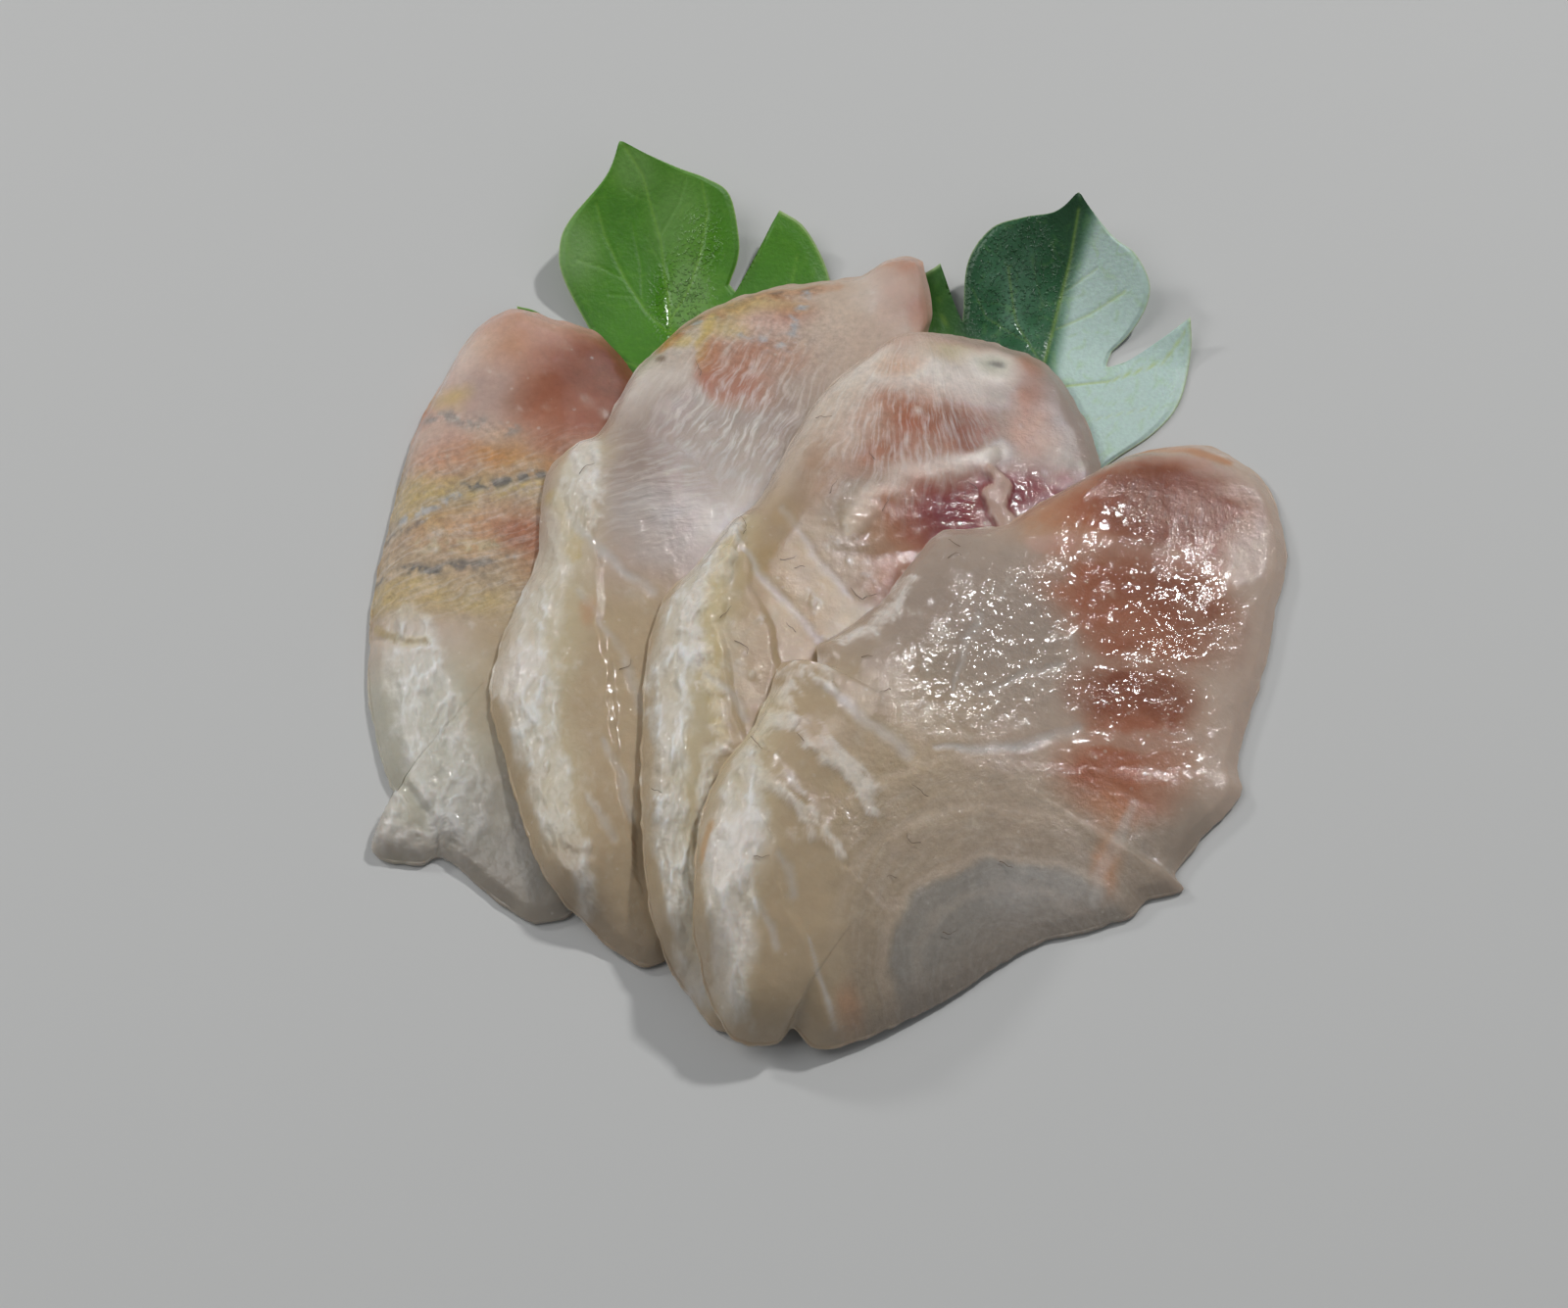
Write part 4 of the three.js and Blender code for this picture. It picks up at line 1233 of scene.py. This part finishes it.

# %% [markdown]
# ## Leaf colours
#
# The left leaf is fresh green with a wet glare at its foot, partly painted glare. The right one
# is blue green; beyond its midrib it carries a pale waxy bloom with a painted sheen, and left of
# its midrib a painted glare. Soft ellipses and noise lay these down.

# %% Paint the leaves
LEAF_PAINTS = {
    "bright": (86, 150, 26), "deep": (56, 114, 12), "vein": (140, 184, 76),
    "pale": (140, 176, 120), "edge": (196, 210, 160), "blue": (56, 108, 70),
    "bloom": (204, 226, 220), "yellow": (176, 190, 70), "dark": (24, 66, 34),
}


def ellipse(x, y, cx, cy, rx, ry):
    """1 in the middle of an ellipse, falling smoothly to 0 past its edge."""
    return 1 - smooth(np.hypot((x - cx) / rx, (y - cy) / ry) - 0.3)


def paint_leaf_left(x, y):
    """Bright green, paler at its left and upper rim, with a painted wet glare near the fish."""
    tone = mottle(x, y, 5, 4, 81)
    colour = mix(np.array(LEAF_PAINTS["deep"]), LEAF_PAINTS["bright"], tone[..., None])
    # Pale spots at the left and upper rim, and near the foot a painted glare where the leaf is
    # wet.
    pale = 0.5 * ellipse(x, y, -23, 51, 3.6, 5) + 0.35 * ellipse(x, y, -11.5, 55, 4, 6)
    pale += 0.45 * ellipse(x, y, -10.6, 45.5, 2.6, 5)
    pale += 0.4 * ellipse(x, y, -16.5, 60, 3, 3) + 0.4 * ellipse(x, y, -10, 47, 3, 5)
    colour = mix(colour, LEAF_PAINTS["pale"], np.clip(1.25 * pale, 0, 0.7)[..., None])
    wet = ellipse(x, y, -11, 46, 3.6, 6) + 0.5 * ellipse(x, y, -9, 53, 3, 4)
    return colour, wet


def paint_leaf_right(x, y):
    """Blue green: dark and wet with painted glare left of the midrib, pale waxy bloom and painted
    sheen right.
    """
    tone = mottle(x, y, 4, 4, 82)
    colour = mix(np.array(LEAF_PAINTS["dark"]), LEAF_PAINTS["blue"], tone[..., None])
    side = x - (29 + (y - 40) * 0.2)
    # Painted sheen: the pale side right of the midrib is a waxy bloom and a painted sheen in one.
    bloom = smooth((side + 0.8 - np.clip((y - 46) * 0.2, 0, 2.4)) / 2.6)
    colour = mix(colour, LEAF_PAINTS["bloom"], 0.92 * bloom[..., None])
    # Painted glare: a pale misty patch on the wet side left of the midrib.
    painted_glare = ellipse(x, y, 25, 46, 5, 8) * mottle(x, y, 2.2, 4, 84)
    colour = mix(colour, LEAF_PAINTS["bloom"], 0.4 * (painted_glare * (1 - bloom))[..., None])
    green = ellipse(x, y, 15.5, 42, 4, 12)
    colour = mix(colour, LEAF_PAINTS["deep"], 0.8 * green[..., None])
    wet = ellipse(x, y, 25, 47, 6, 9) * (1 - bloom)
    return colour, wet


LEAF_PAINTERS = {"leaf_left": paint_leaf_left, "leaf_right": paint_leaf_right}
print(len(LEAF_PAINTS), "leaf paints")

# %% [markdown]
# ## The two leaves
#
# A leaf's blade is under half a millimetre thick and thins towards its edge. The Solidify
# modifier could give it that, but only evenly, so the grid is doubled: one copy is the
# underside, one the top, and a wall joins them all round.

# %% Build the leaves
def grid_body(x, y, low, high):
    """Two grids with the same corners, joined along their whole border."""
    rows, columns = x.shape
    n = x.size
    top = np.stack([x, y, high], -1).reshape(-1, 3)
    under = np.stack([x, y, low], -1).reshape(-1, 3)
    k = np.arange(n).reshape(rows, columns)
    up = np.stack([k[:-1, :-1], k[:-1, 1:], k[1:, 1:], k[1:, :-1]], -1).reshape(-1, 4)
    down = (up + n)[:, ::-1]
    border = np.concatenate([k[0, :-1], k[:-1, -1], k[-1, :0:-1], k[:0:-1, 0]])
    after = np.roll(border, -1)
    wall = np.stack([border + n, after + n, after, border], -1)
    return np.vstack([top, under]), [up, down, wall]


def build_leaf(name, leaf):
    """Underside: the lift. Top: the lift plus a thickness that thins towards the edge."""
    x, y = leaf_grid(leaf)
    across = np.abs(np.linspace(-1, 1, 2 * HALF + 1))[None]
    along = np.linspace(0, 1, ROWS)[:, None]
    border = np.minimum((1 - across) * 6, np.minimum(along, 1 - along) * 40)
    colour, wet = LEAF_PAINTERS[name](x, y)
    veins = np.zeros(x.shape)
    for path, width in VEINS[name]:
        veins = np.maximum(veins, near_line(x, y, path, width) * min(1.0, width / 0.4))
    bx, by = x + mottle(x, y, 2, 2, 91), y + mottle(x, y, 2, 2, 92)
    net = creases(bx, by, 1.8, 2, 93)
    colour = mix(colour, LEAF_PAINTS["vein"], 0.14 * smooth((net - 0.75) / 0.2)[..., None])
    vein_paint = LEAF_PAINTS["yellow" if name == "leaf_right" else "vein"]
    colour = mix(colour, vein_paint, 0.4 * veins[..., None] ** 3)
    colour = mix(colour, LEAF_PAINTS["edge"], 0.8 * (1 - smooth(border / 0.12))[..., None])
    low = leaf_lift(leaf, x, y)
    quilt = 0.06 * (mottle(x, y, 1.6, 3, 94) - 0.5) - 0.10 * veins
    body = LEAF_THICK * mix(0.35, 0.9, smooth(border / 0.5))
    points, polygons = grid_body(x, y, low, low + body + quilt * smooth(border))
    piece = add_mesh(f"{name}_blade", points, polygons)
    put_values(piece, "leaf", np.tile(to_linear(colour.reshape(-1, 3) / 255), (2, 1)))
    put_values(piece, "wet", np.tile(np.clip(wet, 0, 1).ravel(), 2))
    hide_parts(name)
    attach(piece, "root")
    print(piece.name, len(points), "points, tip at", round(float(points[:, 2].max()), 1), "mm")
    return piece


LEAF_PIECES = [build_leaf(name, leaf) for name, leaf in LEAVES.items()]

# %% [markdown]
# ## Small helpers for node trees
#
# A finish is a tree of nodes. Written out one by one, its links hide what it does, so a few
# helpers stand for the steps that come again: a value stretched to a new range, two colours
# blended, a noise, and a bump laid over an earlier bump. Settings that are the same all over
# a piece stand on the shader's own sockets, so that they survive an export.

# %% Node helpers
def add_node(tree, kind, inputs=(), **settings):
    """A shader node with some settings, and inputs given as values or other sockets."""
    node = tree.nodes.new(kind)
    for key, value in settings.items():
        setattr(node, key, value)
    for key, value in dict(inputs).items():
        if isinstance(value, bpy.types.NodeSocket):
            tree.links.new(value, node.inputs[key])
        else:
            node.inputs[key].default_value = value
    return node


def value_of(tree, name):
    """The numbers that a piece holds under a name."""
    return add_node(tree, "ShaderNodeAttribute", attribute_name=name)


def new_material(name):
    """A material with its node tree and its Principled shader."""
    material = bpy.data.materials.new(name)
    material.use_nodes = True
    tree = material.node_tree
    return material, tree, tree.nodes["Principled BSDF"]


def set_constants(shader, values):
    """Settings that are the same all over, on the shader's own sockets."""
    for key, value in values.items():
        shader.inputs[key].default_value = value


def blend(tree, amount, first, second):
    """Two colours mixed by an amount; the colour sockets are numbers 6, 7 and 2."""
    inputs = {0: amount, 6: first, 7: second}
    return add_node(tree, "ShaderNodeMix", inputs, data_type="RGBA").outputs[2]


def scaled(tree, colour, amount):
    """A colour made darker or lighter by an amount."""
    return add_node(tree, "ShaderNodeVectorMath", {0: colour, "Scale": amount},
                    operation="SCALE").outputs["Vector"]


def between(tree, socket, start, end, low=0.0, high=1.0):
    """A value's stretch from start to end, spread to low to high."""
    return add_node(tree, "ShaderNodeMapRange", {
        "Value": socket, "From Min": start, "From Max": end, "To Min": low, "To Max": high,
    }).outputs["Result"]


def times(tree, a, b):
    """Product of two values."""
    return add_node(tree, "ShaderNodeMath", {0: a, 1: b}, operation="MULTIPLY").outputs[0]


def bump(tree, height, strength, distance, normal=None):
    """Relief from a height, laid over an earlier bump."""
    inputs = {"Height": height, "Strength": strength, "Distance": distance}
    if normal is not None:
        inputs["Normal"] = normal
    return add_node(tree, "ShaderNodeBump", inputs).outputs["Normal"]


def noise_of(tree, where, scale, detail, roughness=0.5):
    """Noise texture value, with features about 1 / scale apart."""
    return add_node(tree, "ShaderNodeTexNoise", {
        "Vector": where, "Scale": scale, "Detail": detail, "Roughness": roughness,
    }).outputs["Fac"]


NODE_STEPS = (value_of, blend, scaled, between, times, bump, noise_of)
print("node steps:", *(step.__name__ for step in NODE_STEPS))

# %% [markdown]
# ## The finish of wet flesh
#
# Raw fish is a translucent, wet solid: light enters, scatters about a millimetre and comes
# out warmer, and water on the surface adds sharp glints. One glossy shader would make it
# look like plastic. So the flesh itself is dull and scatters light, and a clear coat stands
# for the water. The coat has bumps of its own: soft waves, and beads where it is wet.

# %% Flesh material
MILK = (0.82, 0.76, 0.70, 1)
FAT = (0.70, 0.64, 0.55, 1)
FIBRE_SCALE = (0.28, 1.9, 1.0)


def flesh_material():
    """Colour: the painted one, with milky strands, crumbs of fat and grain. Relief: grain,
    fibres and folds. Coat relief: that, then a soft swell, and beads or a dull fine grain."""
    material, tree, shader = new_material("wet_white_fish")
    where = add_node(tree, "ShaderNodeTexCoord").outputs["Object"]
    flesh = value_of(tree, "flesh").outputs["Color"]
    grain = value_of(tree, "grain").outputs["Vector"]
    silver, wet, grit, fibrous = (
        value_of(tree, key).outputs["Fac"] for key in ("silver", "wet", "grit", "fibrous")
    )
    cloud = noise_of(tree, where, 400.0, 5.0, 0.6)
    fine = noise_of(tree, where, 1500.0, 5.0, 0.65)
    ripple = noise_of(tree, where, 2500.0, 2.0, 0.5)
    swell = noise_of(tree, where, 650.0, 2.0, 0.5)
    narrow = add_node(tree, "ShaderNodeVectorMath", {0: grain, 1: FIBRE_SCALE},
                      operation="MULTIPLY").outputs["Vector"]
    thread = noise_of(tree, narrow, 1.0, 3.0, 0.55)
    strands = times(tree, between(tree, thread, 0.46, 0.70), fibrous)
    dots = add_node(tree, "ShaderNodeTexVoronoi", {"Vector": where, "Scale": 620.0})
    crumbs = times(tree, between(tree, dots.outputs["Distance"], 0.16, 0.08),
                   between(tree, cloud, 0.48, 0.62))

    colour = blend(tree, times(tree, strands, 0.55), flesh, MILK)
    colour = blend(tree, times(tree, crumbs, 0.35), colour, FAT)
    tone = between(tree, cloud, 0.25, 0.75, 0.93, 1.07)
    gritty = add_node(tree, "ShaderNodeMath", {
        0: between(tree, fine, 0.3, 0.7, -0.28, 0.28), 1: grit, 2: tone,
    }, operation="MULTIPLY_ADD").outputs[0]
    tree.links.new(scaled(tree, colour, gritty), shader.inputs["Base Color"])

    normal = bump(tree, fine, between(tree, grit, 0, 1, 0.12, 1.0), 0.00022)
    normal = bump(tree, thread, times(tree, fibrous, 0.7), 0.00025, normal)
    normal = bump(tree, swell, between(tree, silver, 0, 1, 0.1, 0.3), 0.0007, normal)
    tree.links.new(normal, shader.inputs["Normal"])
    film = bump(tree, swell, between(tree, wet, 0, 1, 0.15, 0.24), 0.0007, normal)
    beads = between(tree, ripple, between(tree, wet, 0, 1, 0.62, 0.50), 0.8)
    film = bump(tree, beads, between(tree, wet, 0, 1, 0.8, 1.0), 0.00014, film)
    film = bump(tree, fine, between(tree, wet, 0, 0.6, 0.6, 0.0), 0.00012, film)
    tree.links.new(film, shader.inputs["Coat Normal"])
    set_constants(shader, {
        "Coat Weight": 1.0, "Coat Roughness": 0.05, "Coat IOR": 1.5,
        "Roughness": 0.5, "Specular IOR Level": 0.2, "IOR": 1.4,
        "Subsurface Weight": 0.3, "Subsurface Scale": 0.0012,
        "Subsurface Radius": (1.0, 0.6, 0.4),
    })
    return material


FLESH = flesh_material()
for piece in FLESH_PIECES:
    piece.data.materials.append(FLESH)
print("flesh material", len(FLESH.node_tree.nodes), "nodes")

# %% [markdown]
# ## Fine dark threads
#
# A few short, thin, dark threads, torn vessels and skin fibres, lie curled on the flesh of
# slices 2 to 4. A curve with a bevel could make them. A thin closed tube worked out with
# numpy keeps them in one small mesh, and follows the top of the flesh below it. A seed
# scatters them, so they fall in the same places every time.

# %% Threads
THREADS = 30
THREAD_STEPS = 9
THREAD_SIDES = 5
THREAD_RADIUS = 0.04
THREAD_NEAR = 0.45
THREAD_LOWEST = 2
THREAD_CLIMB = 0.8


def tops_of(pieces):
    """Layout points of the upper side of some slices, all in one array."""
    out = []
    for piece in pieces:
        values = np.empty(3 * len(piece.data.vertices), np.float32)
        piece.data.vertices.foreach_get("co", values)
        out.append(values.reshape(-1, 3)[:1 + TOP_RINGS * SPOKES] / MM + MIDDLE)
    return np.concatenate(out)


def height_above(tops, x, y):
    """Highest point of the flesh close to a place."""
    near = np.hypot(tops[:, 0] - x[:, None], tops[:, 1] - y[:, None]) < THREAD_NEAR
    return np.where(near, tops[:, 2], 0).max(axis=1)


def build_threads(name, pieces, nodes):
    """Closed tubes: a ring of points at every step of a curling path. A path is left out
    where it would leave the flesh or climb over an edge."""
    rng = np.random.default_rng(77)
    tops = tops_of(pieces)
    rings, quads, caps = [], [], []
    turn = 2 * np.pi * np.arange(THREAD_SIDES) / THREAD_SIDES
    for k in range(THREADS):
        cx, cy = rng.normal((2, 4), (13, 15))
        heading = rng.uniform(0, np.pi) + np.cumsum(rng.normal(0, 0.35, THREAD_STEPS))
        step = rng.uniform(1.2, 2.8) / THREAD_STEPS
        x, y = cx + np.cumsum(np.cos(heading)) * step, cy + np.cumsum(np.sin(heading)) * step
        z = height_above(tops, x, y)
        if z.min() < THREAD_LOWEST or np.ptp(z) > THREAD_CLIMB:
            continue
        z = np.maximum(z, z.mean()) + THREAD_RADIUS
        radius = THREAD_RADIUS * np.linspace(1, 0.5, THREAD_STEPS)[:, None]
        side = np.stack([-np.sin(heading), np.cos(heading)], 1)
        ring = np.stack([x[:, None] + radius * np.cos(turn) * side[:, :1],
                         y[:, None] + radius * np.cos(turn) * side[:, 1:],
                         z[:, None] + radius * np.sin(turn)], -1)
        first = THREAD_STEPS * THREAD_SIDES * len(rings)
        rings.append(ring.reshape(-1, 3))
        n = np.arange(THREAD_STEPS * THREAD_SIDES).reshape(THREAD_STEPS, THREAD_SIDES) + first
        after = np.roll(n, -1, axis=1)
        quads.append(np.stack([n[:-1], after[:-1], after[1:], n[1:]], -1).reshape(-1, 4))
        caps.append(np.stack([n[0, ::-1], n[-1]]))
    piece = add_mesh(name, np.concatenate(rings), [np.concatenate(quads), np.concatenate(caps)])
    material, _, shader = new_material("dark_thread")
    set_constants(shader, {"Base Color": (0.16, 0.10, 0.06, 1), "Roughness": 0.45})
    piece.data.materials.append(material)
    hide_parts(*nodes)
    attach(piece, "root")
    print(name, len(rings), "threads")
    return piece


build_threads("fine_threads", FLESH_PIECES[1:], ("slice_2", "slice_3", "slice_4"))

# %% [markdown]
# ## The finish of the leaves
#
# A leaf is thin, waxy and finely grained. Its cells show as a fine bump, and where it is
# wet the gloss breaks up into small glints. Drops could be small meshes, but at this size a
# bump that rises in sharp beads looks the same and costs nothing.

# %% Leaf material
def leaf_material():
    """Colour: the painted one with fine grain. Relief: cells, and beads where wet."""
    material, tree, shader = new_material("fresh_leaf")
    where = add_node(tree, "ShaderNodeTexCoord").outputs["Object"]
    leaf = value_of(tree, "leaf").outputs["Color"]
    wet = value_of(tree, "wet").outputs["Fac"]
    cells = noise_of(tree, where, 2200.0, 3.0)
    tone = between(tree, cells, 0.25, 0.75, 0.92, 1.08)
    tree.links.new(scaled(tree, leaf, tone), shader.inputs["Base Color"])
    drops = noise_of(tree, where, 2600.0, 2.0)
    normal = bump(tree, drops, 0.2, 0.0003)
    beads = between(tree, drops, 0.52, 0.72)
    normal = bump(tree, beads, wet, 0.00022, normal)
    tree.links.new(normal, shader.inputs["Normal"])
    rough = between(tree, wet, 0, 0.7, 0.5, 0.14)
    tree.links.new(rough, shader.inputs["Roughness"])
    set_constants(shader, {
        "Subsurface Weight": 0.1, "Subsurface Scale": 0.0005,
        "Subsurface Radius": (0.4, 1.0, 0.2),
    })
    return material


LEAF = leaf_material()
for piece in LEAF_PIECES:
    piece.data.materials.append(LEAF)
print("leaf material", len(LEAF.node_tree.nodes), "nodes")

# %% [markdown]
# ## Floor and light
#
# A pale floor and soft lights show the piece plainly. The key light is large and stands at
# the upper left. A small lamp behind on the right makes the sharp glints of wet flesh, which
# a large light would smear. A light at the left brings out the silvery flanks, and a large
# weak fill opens the shadows.

# %% Floor and light
FLOOR_SIZE = 3.0
FLOOR_DROP = 0.0001
LIGHTS = {
    "key": dict(place=(-0.45, 0.05, 0.66), size=0.50, watts=1.55),
    "lamp": dict(place=(0.37, 0.41, 0.58), size=0.05, watts=2.4),
    "left": dict(place=(-0.60, 0.38, 0.40), size=0.08, watts=1.2),
    "fill": dict(place=(0.6, -0.5, 0.5), size=0.8, watts=0.55),
}
SKY = (0.9, 0.95, 1.0, 1)
SKY_STRENGTH = 0.13


def add_floor():
    """One large pale square, just under the table height of the serving."""
    half = FLOOR_SIZE / 2
    signs = ((-1, -1), (1, -1), (1, 1), (-1, 1))
    mesh = bpy.data.meshes.new("floor")
    mesh.from_pydata([(half * i, half * j, -FLOOR_DROP) for i, j in signs], [], [(0, 1, 2, 3)])
    floor = bpy.data.objects.new("floor", mesh)
    bpy.context.scene.collection.objects.link(floor)
    material, _, shader = new_material("pale_floor")
    set_constants(shader, {"Base Color": (0.62, 0.62, 0.61, 1), "Roughness": 0.7})
    mesh.materials.append(material)


def add_light(name, place, size, watts):
    """A square soft light that faces the serving."""
    data = bpy.data.lights.new(name, "AREA")
    data.size = size
    data.energy = watts
    light = bpy.data.objects.new(name, data)
    light.location = place
    light.rotation_euler = (-Vector(place)).to_track_quat("-Z", "Y").to_euler()
    bpy.context.scene.collection.objects.link(light)


def add_sky():
    """An even, slightly cool glow from all round."""
    world = bpy.data.worlds.new("studio")
    world.use_nodes = True
    set_constants(world.node_tree.nodes["Background"], {
        "Color": SKY, "Strength": SKY_STRENGTH,
    })
    bpy.context.scene.world = world
    bpy.context.scene.view_settings.view_transform = "Standard"


add_floor()
for name, light in LIGHTS.items():
    add_light(name, **light)
add_sky()
print("lights", list(LIGHTS))

# %% [markdown]
# ## Camera
#
# The serving is seen as by a guest who leans over the table: from the front, sixty degrees
# up. A long lens from further away keeps the slices' proportions true.

# %% Camera
CAMERA_RISE = np.radians(60)
CAMERA_AWAY = 377.8
CAMERA_AIM = np.array([0.0, 0.0, 4.0])
LENS = 85.0
SENSOR = 36.0


def add_camera():
    """The camera sits back from its aim along the line of sight."""
    away = np.array([0, -np.cos(CAMERA_RISE), np.sin(CAMERA_RISE)]) * CAMERA_AWAY
    data = bpy.data.cameras.new("camera")
    data.lens = LENS
    data.sensor_width = SENSOR
    data.clip_start = 0.01
    camera = bpy.data.objects.new("camera", data)
    camera.location = to_model(CAMERA_AIM + away)
    camera.rotation_euler = (np.pi / 2 - CAMERA_RISE, 0, 0)
    bpy.context.scene.collection.objects.link(camera)
    bpy.context.scene.camera = camera


add_camera()
print("camera", CAMERA_AWAY, "mm from its aim, lens", LENS, "mm")

# %% [markdown]
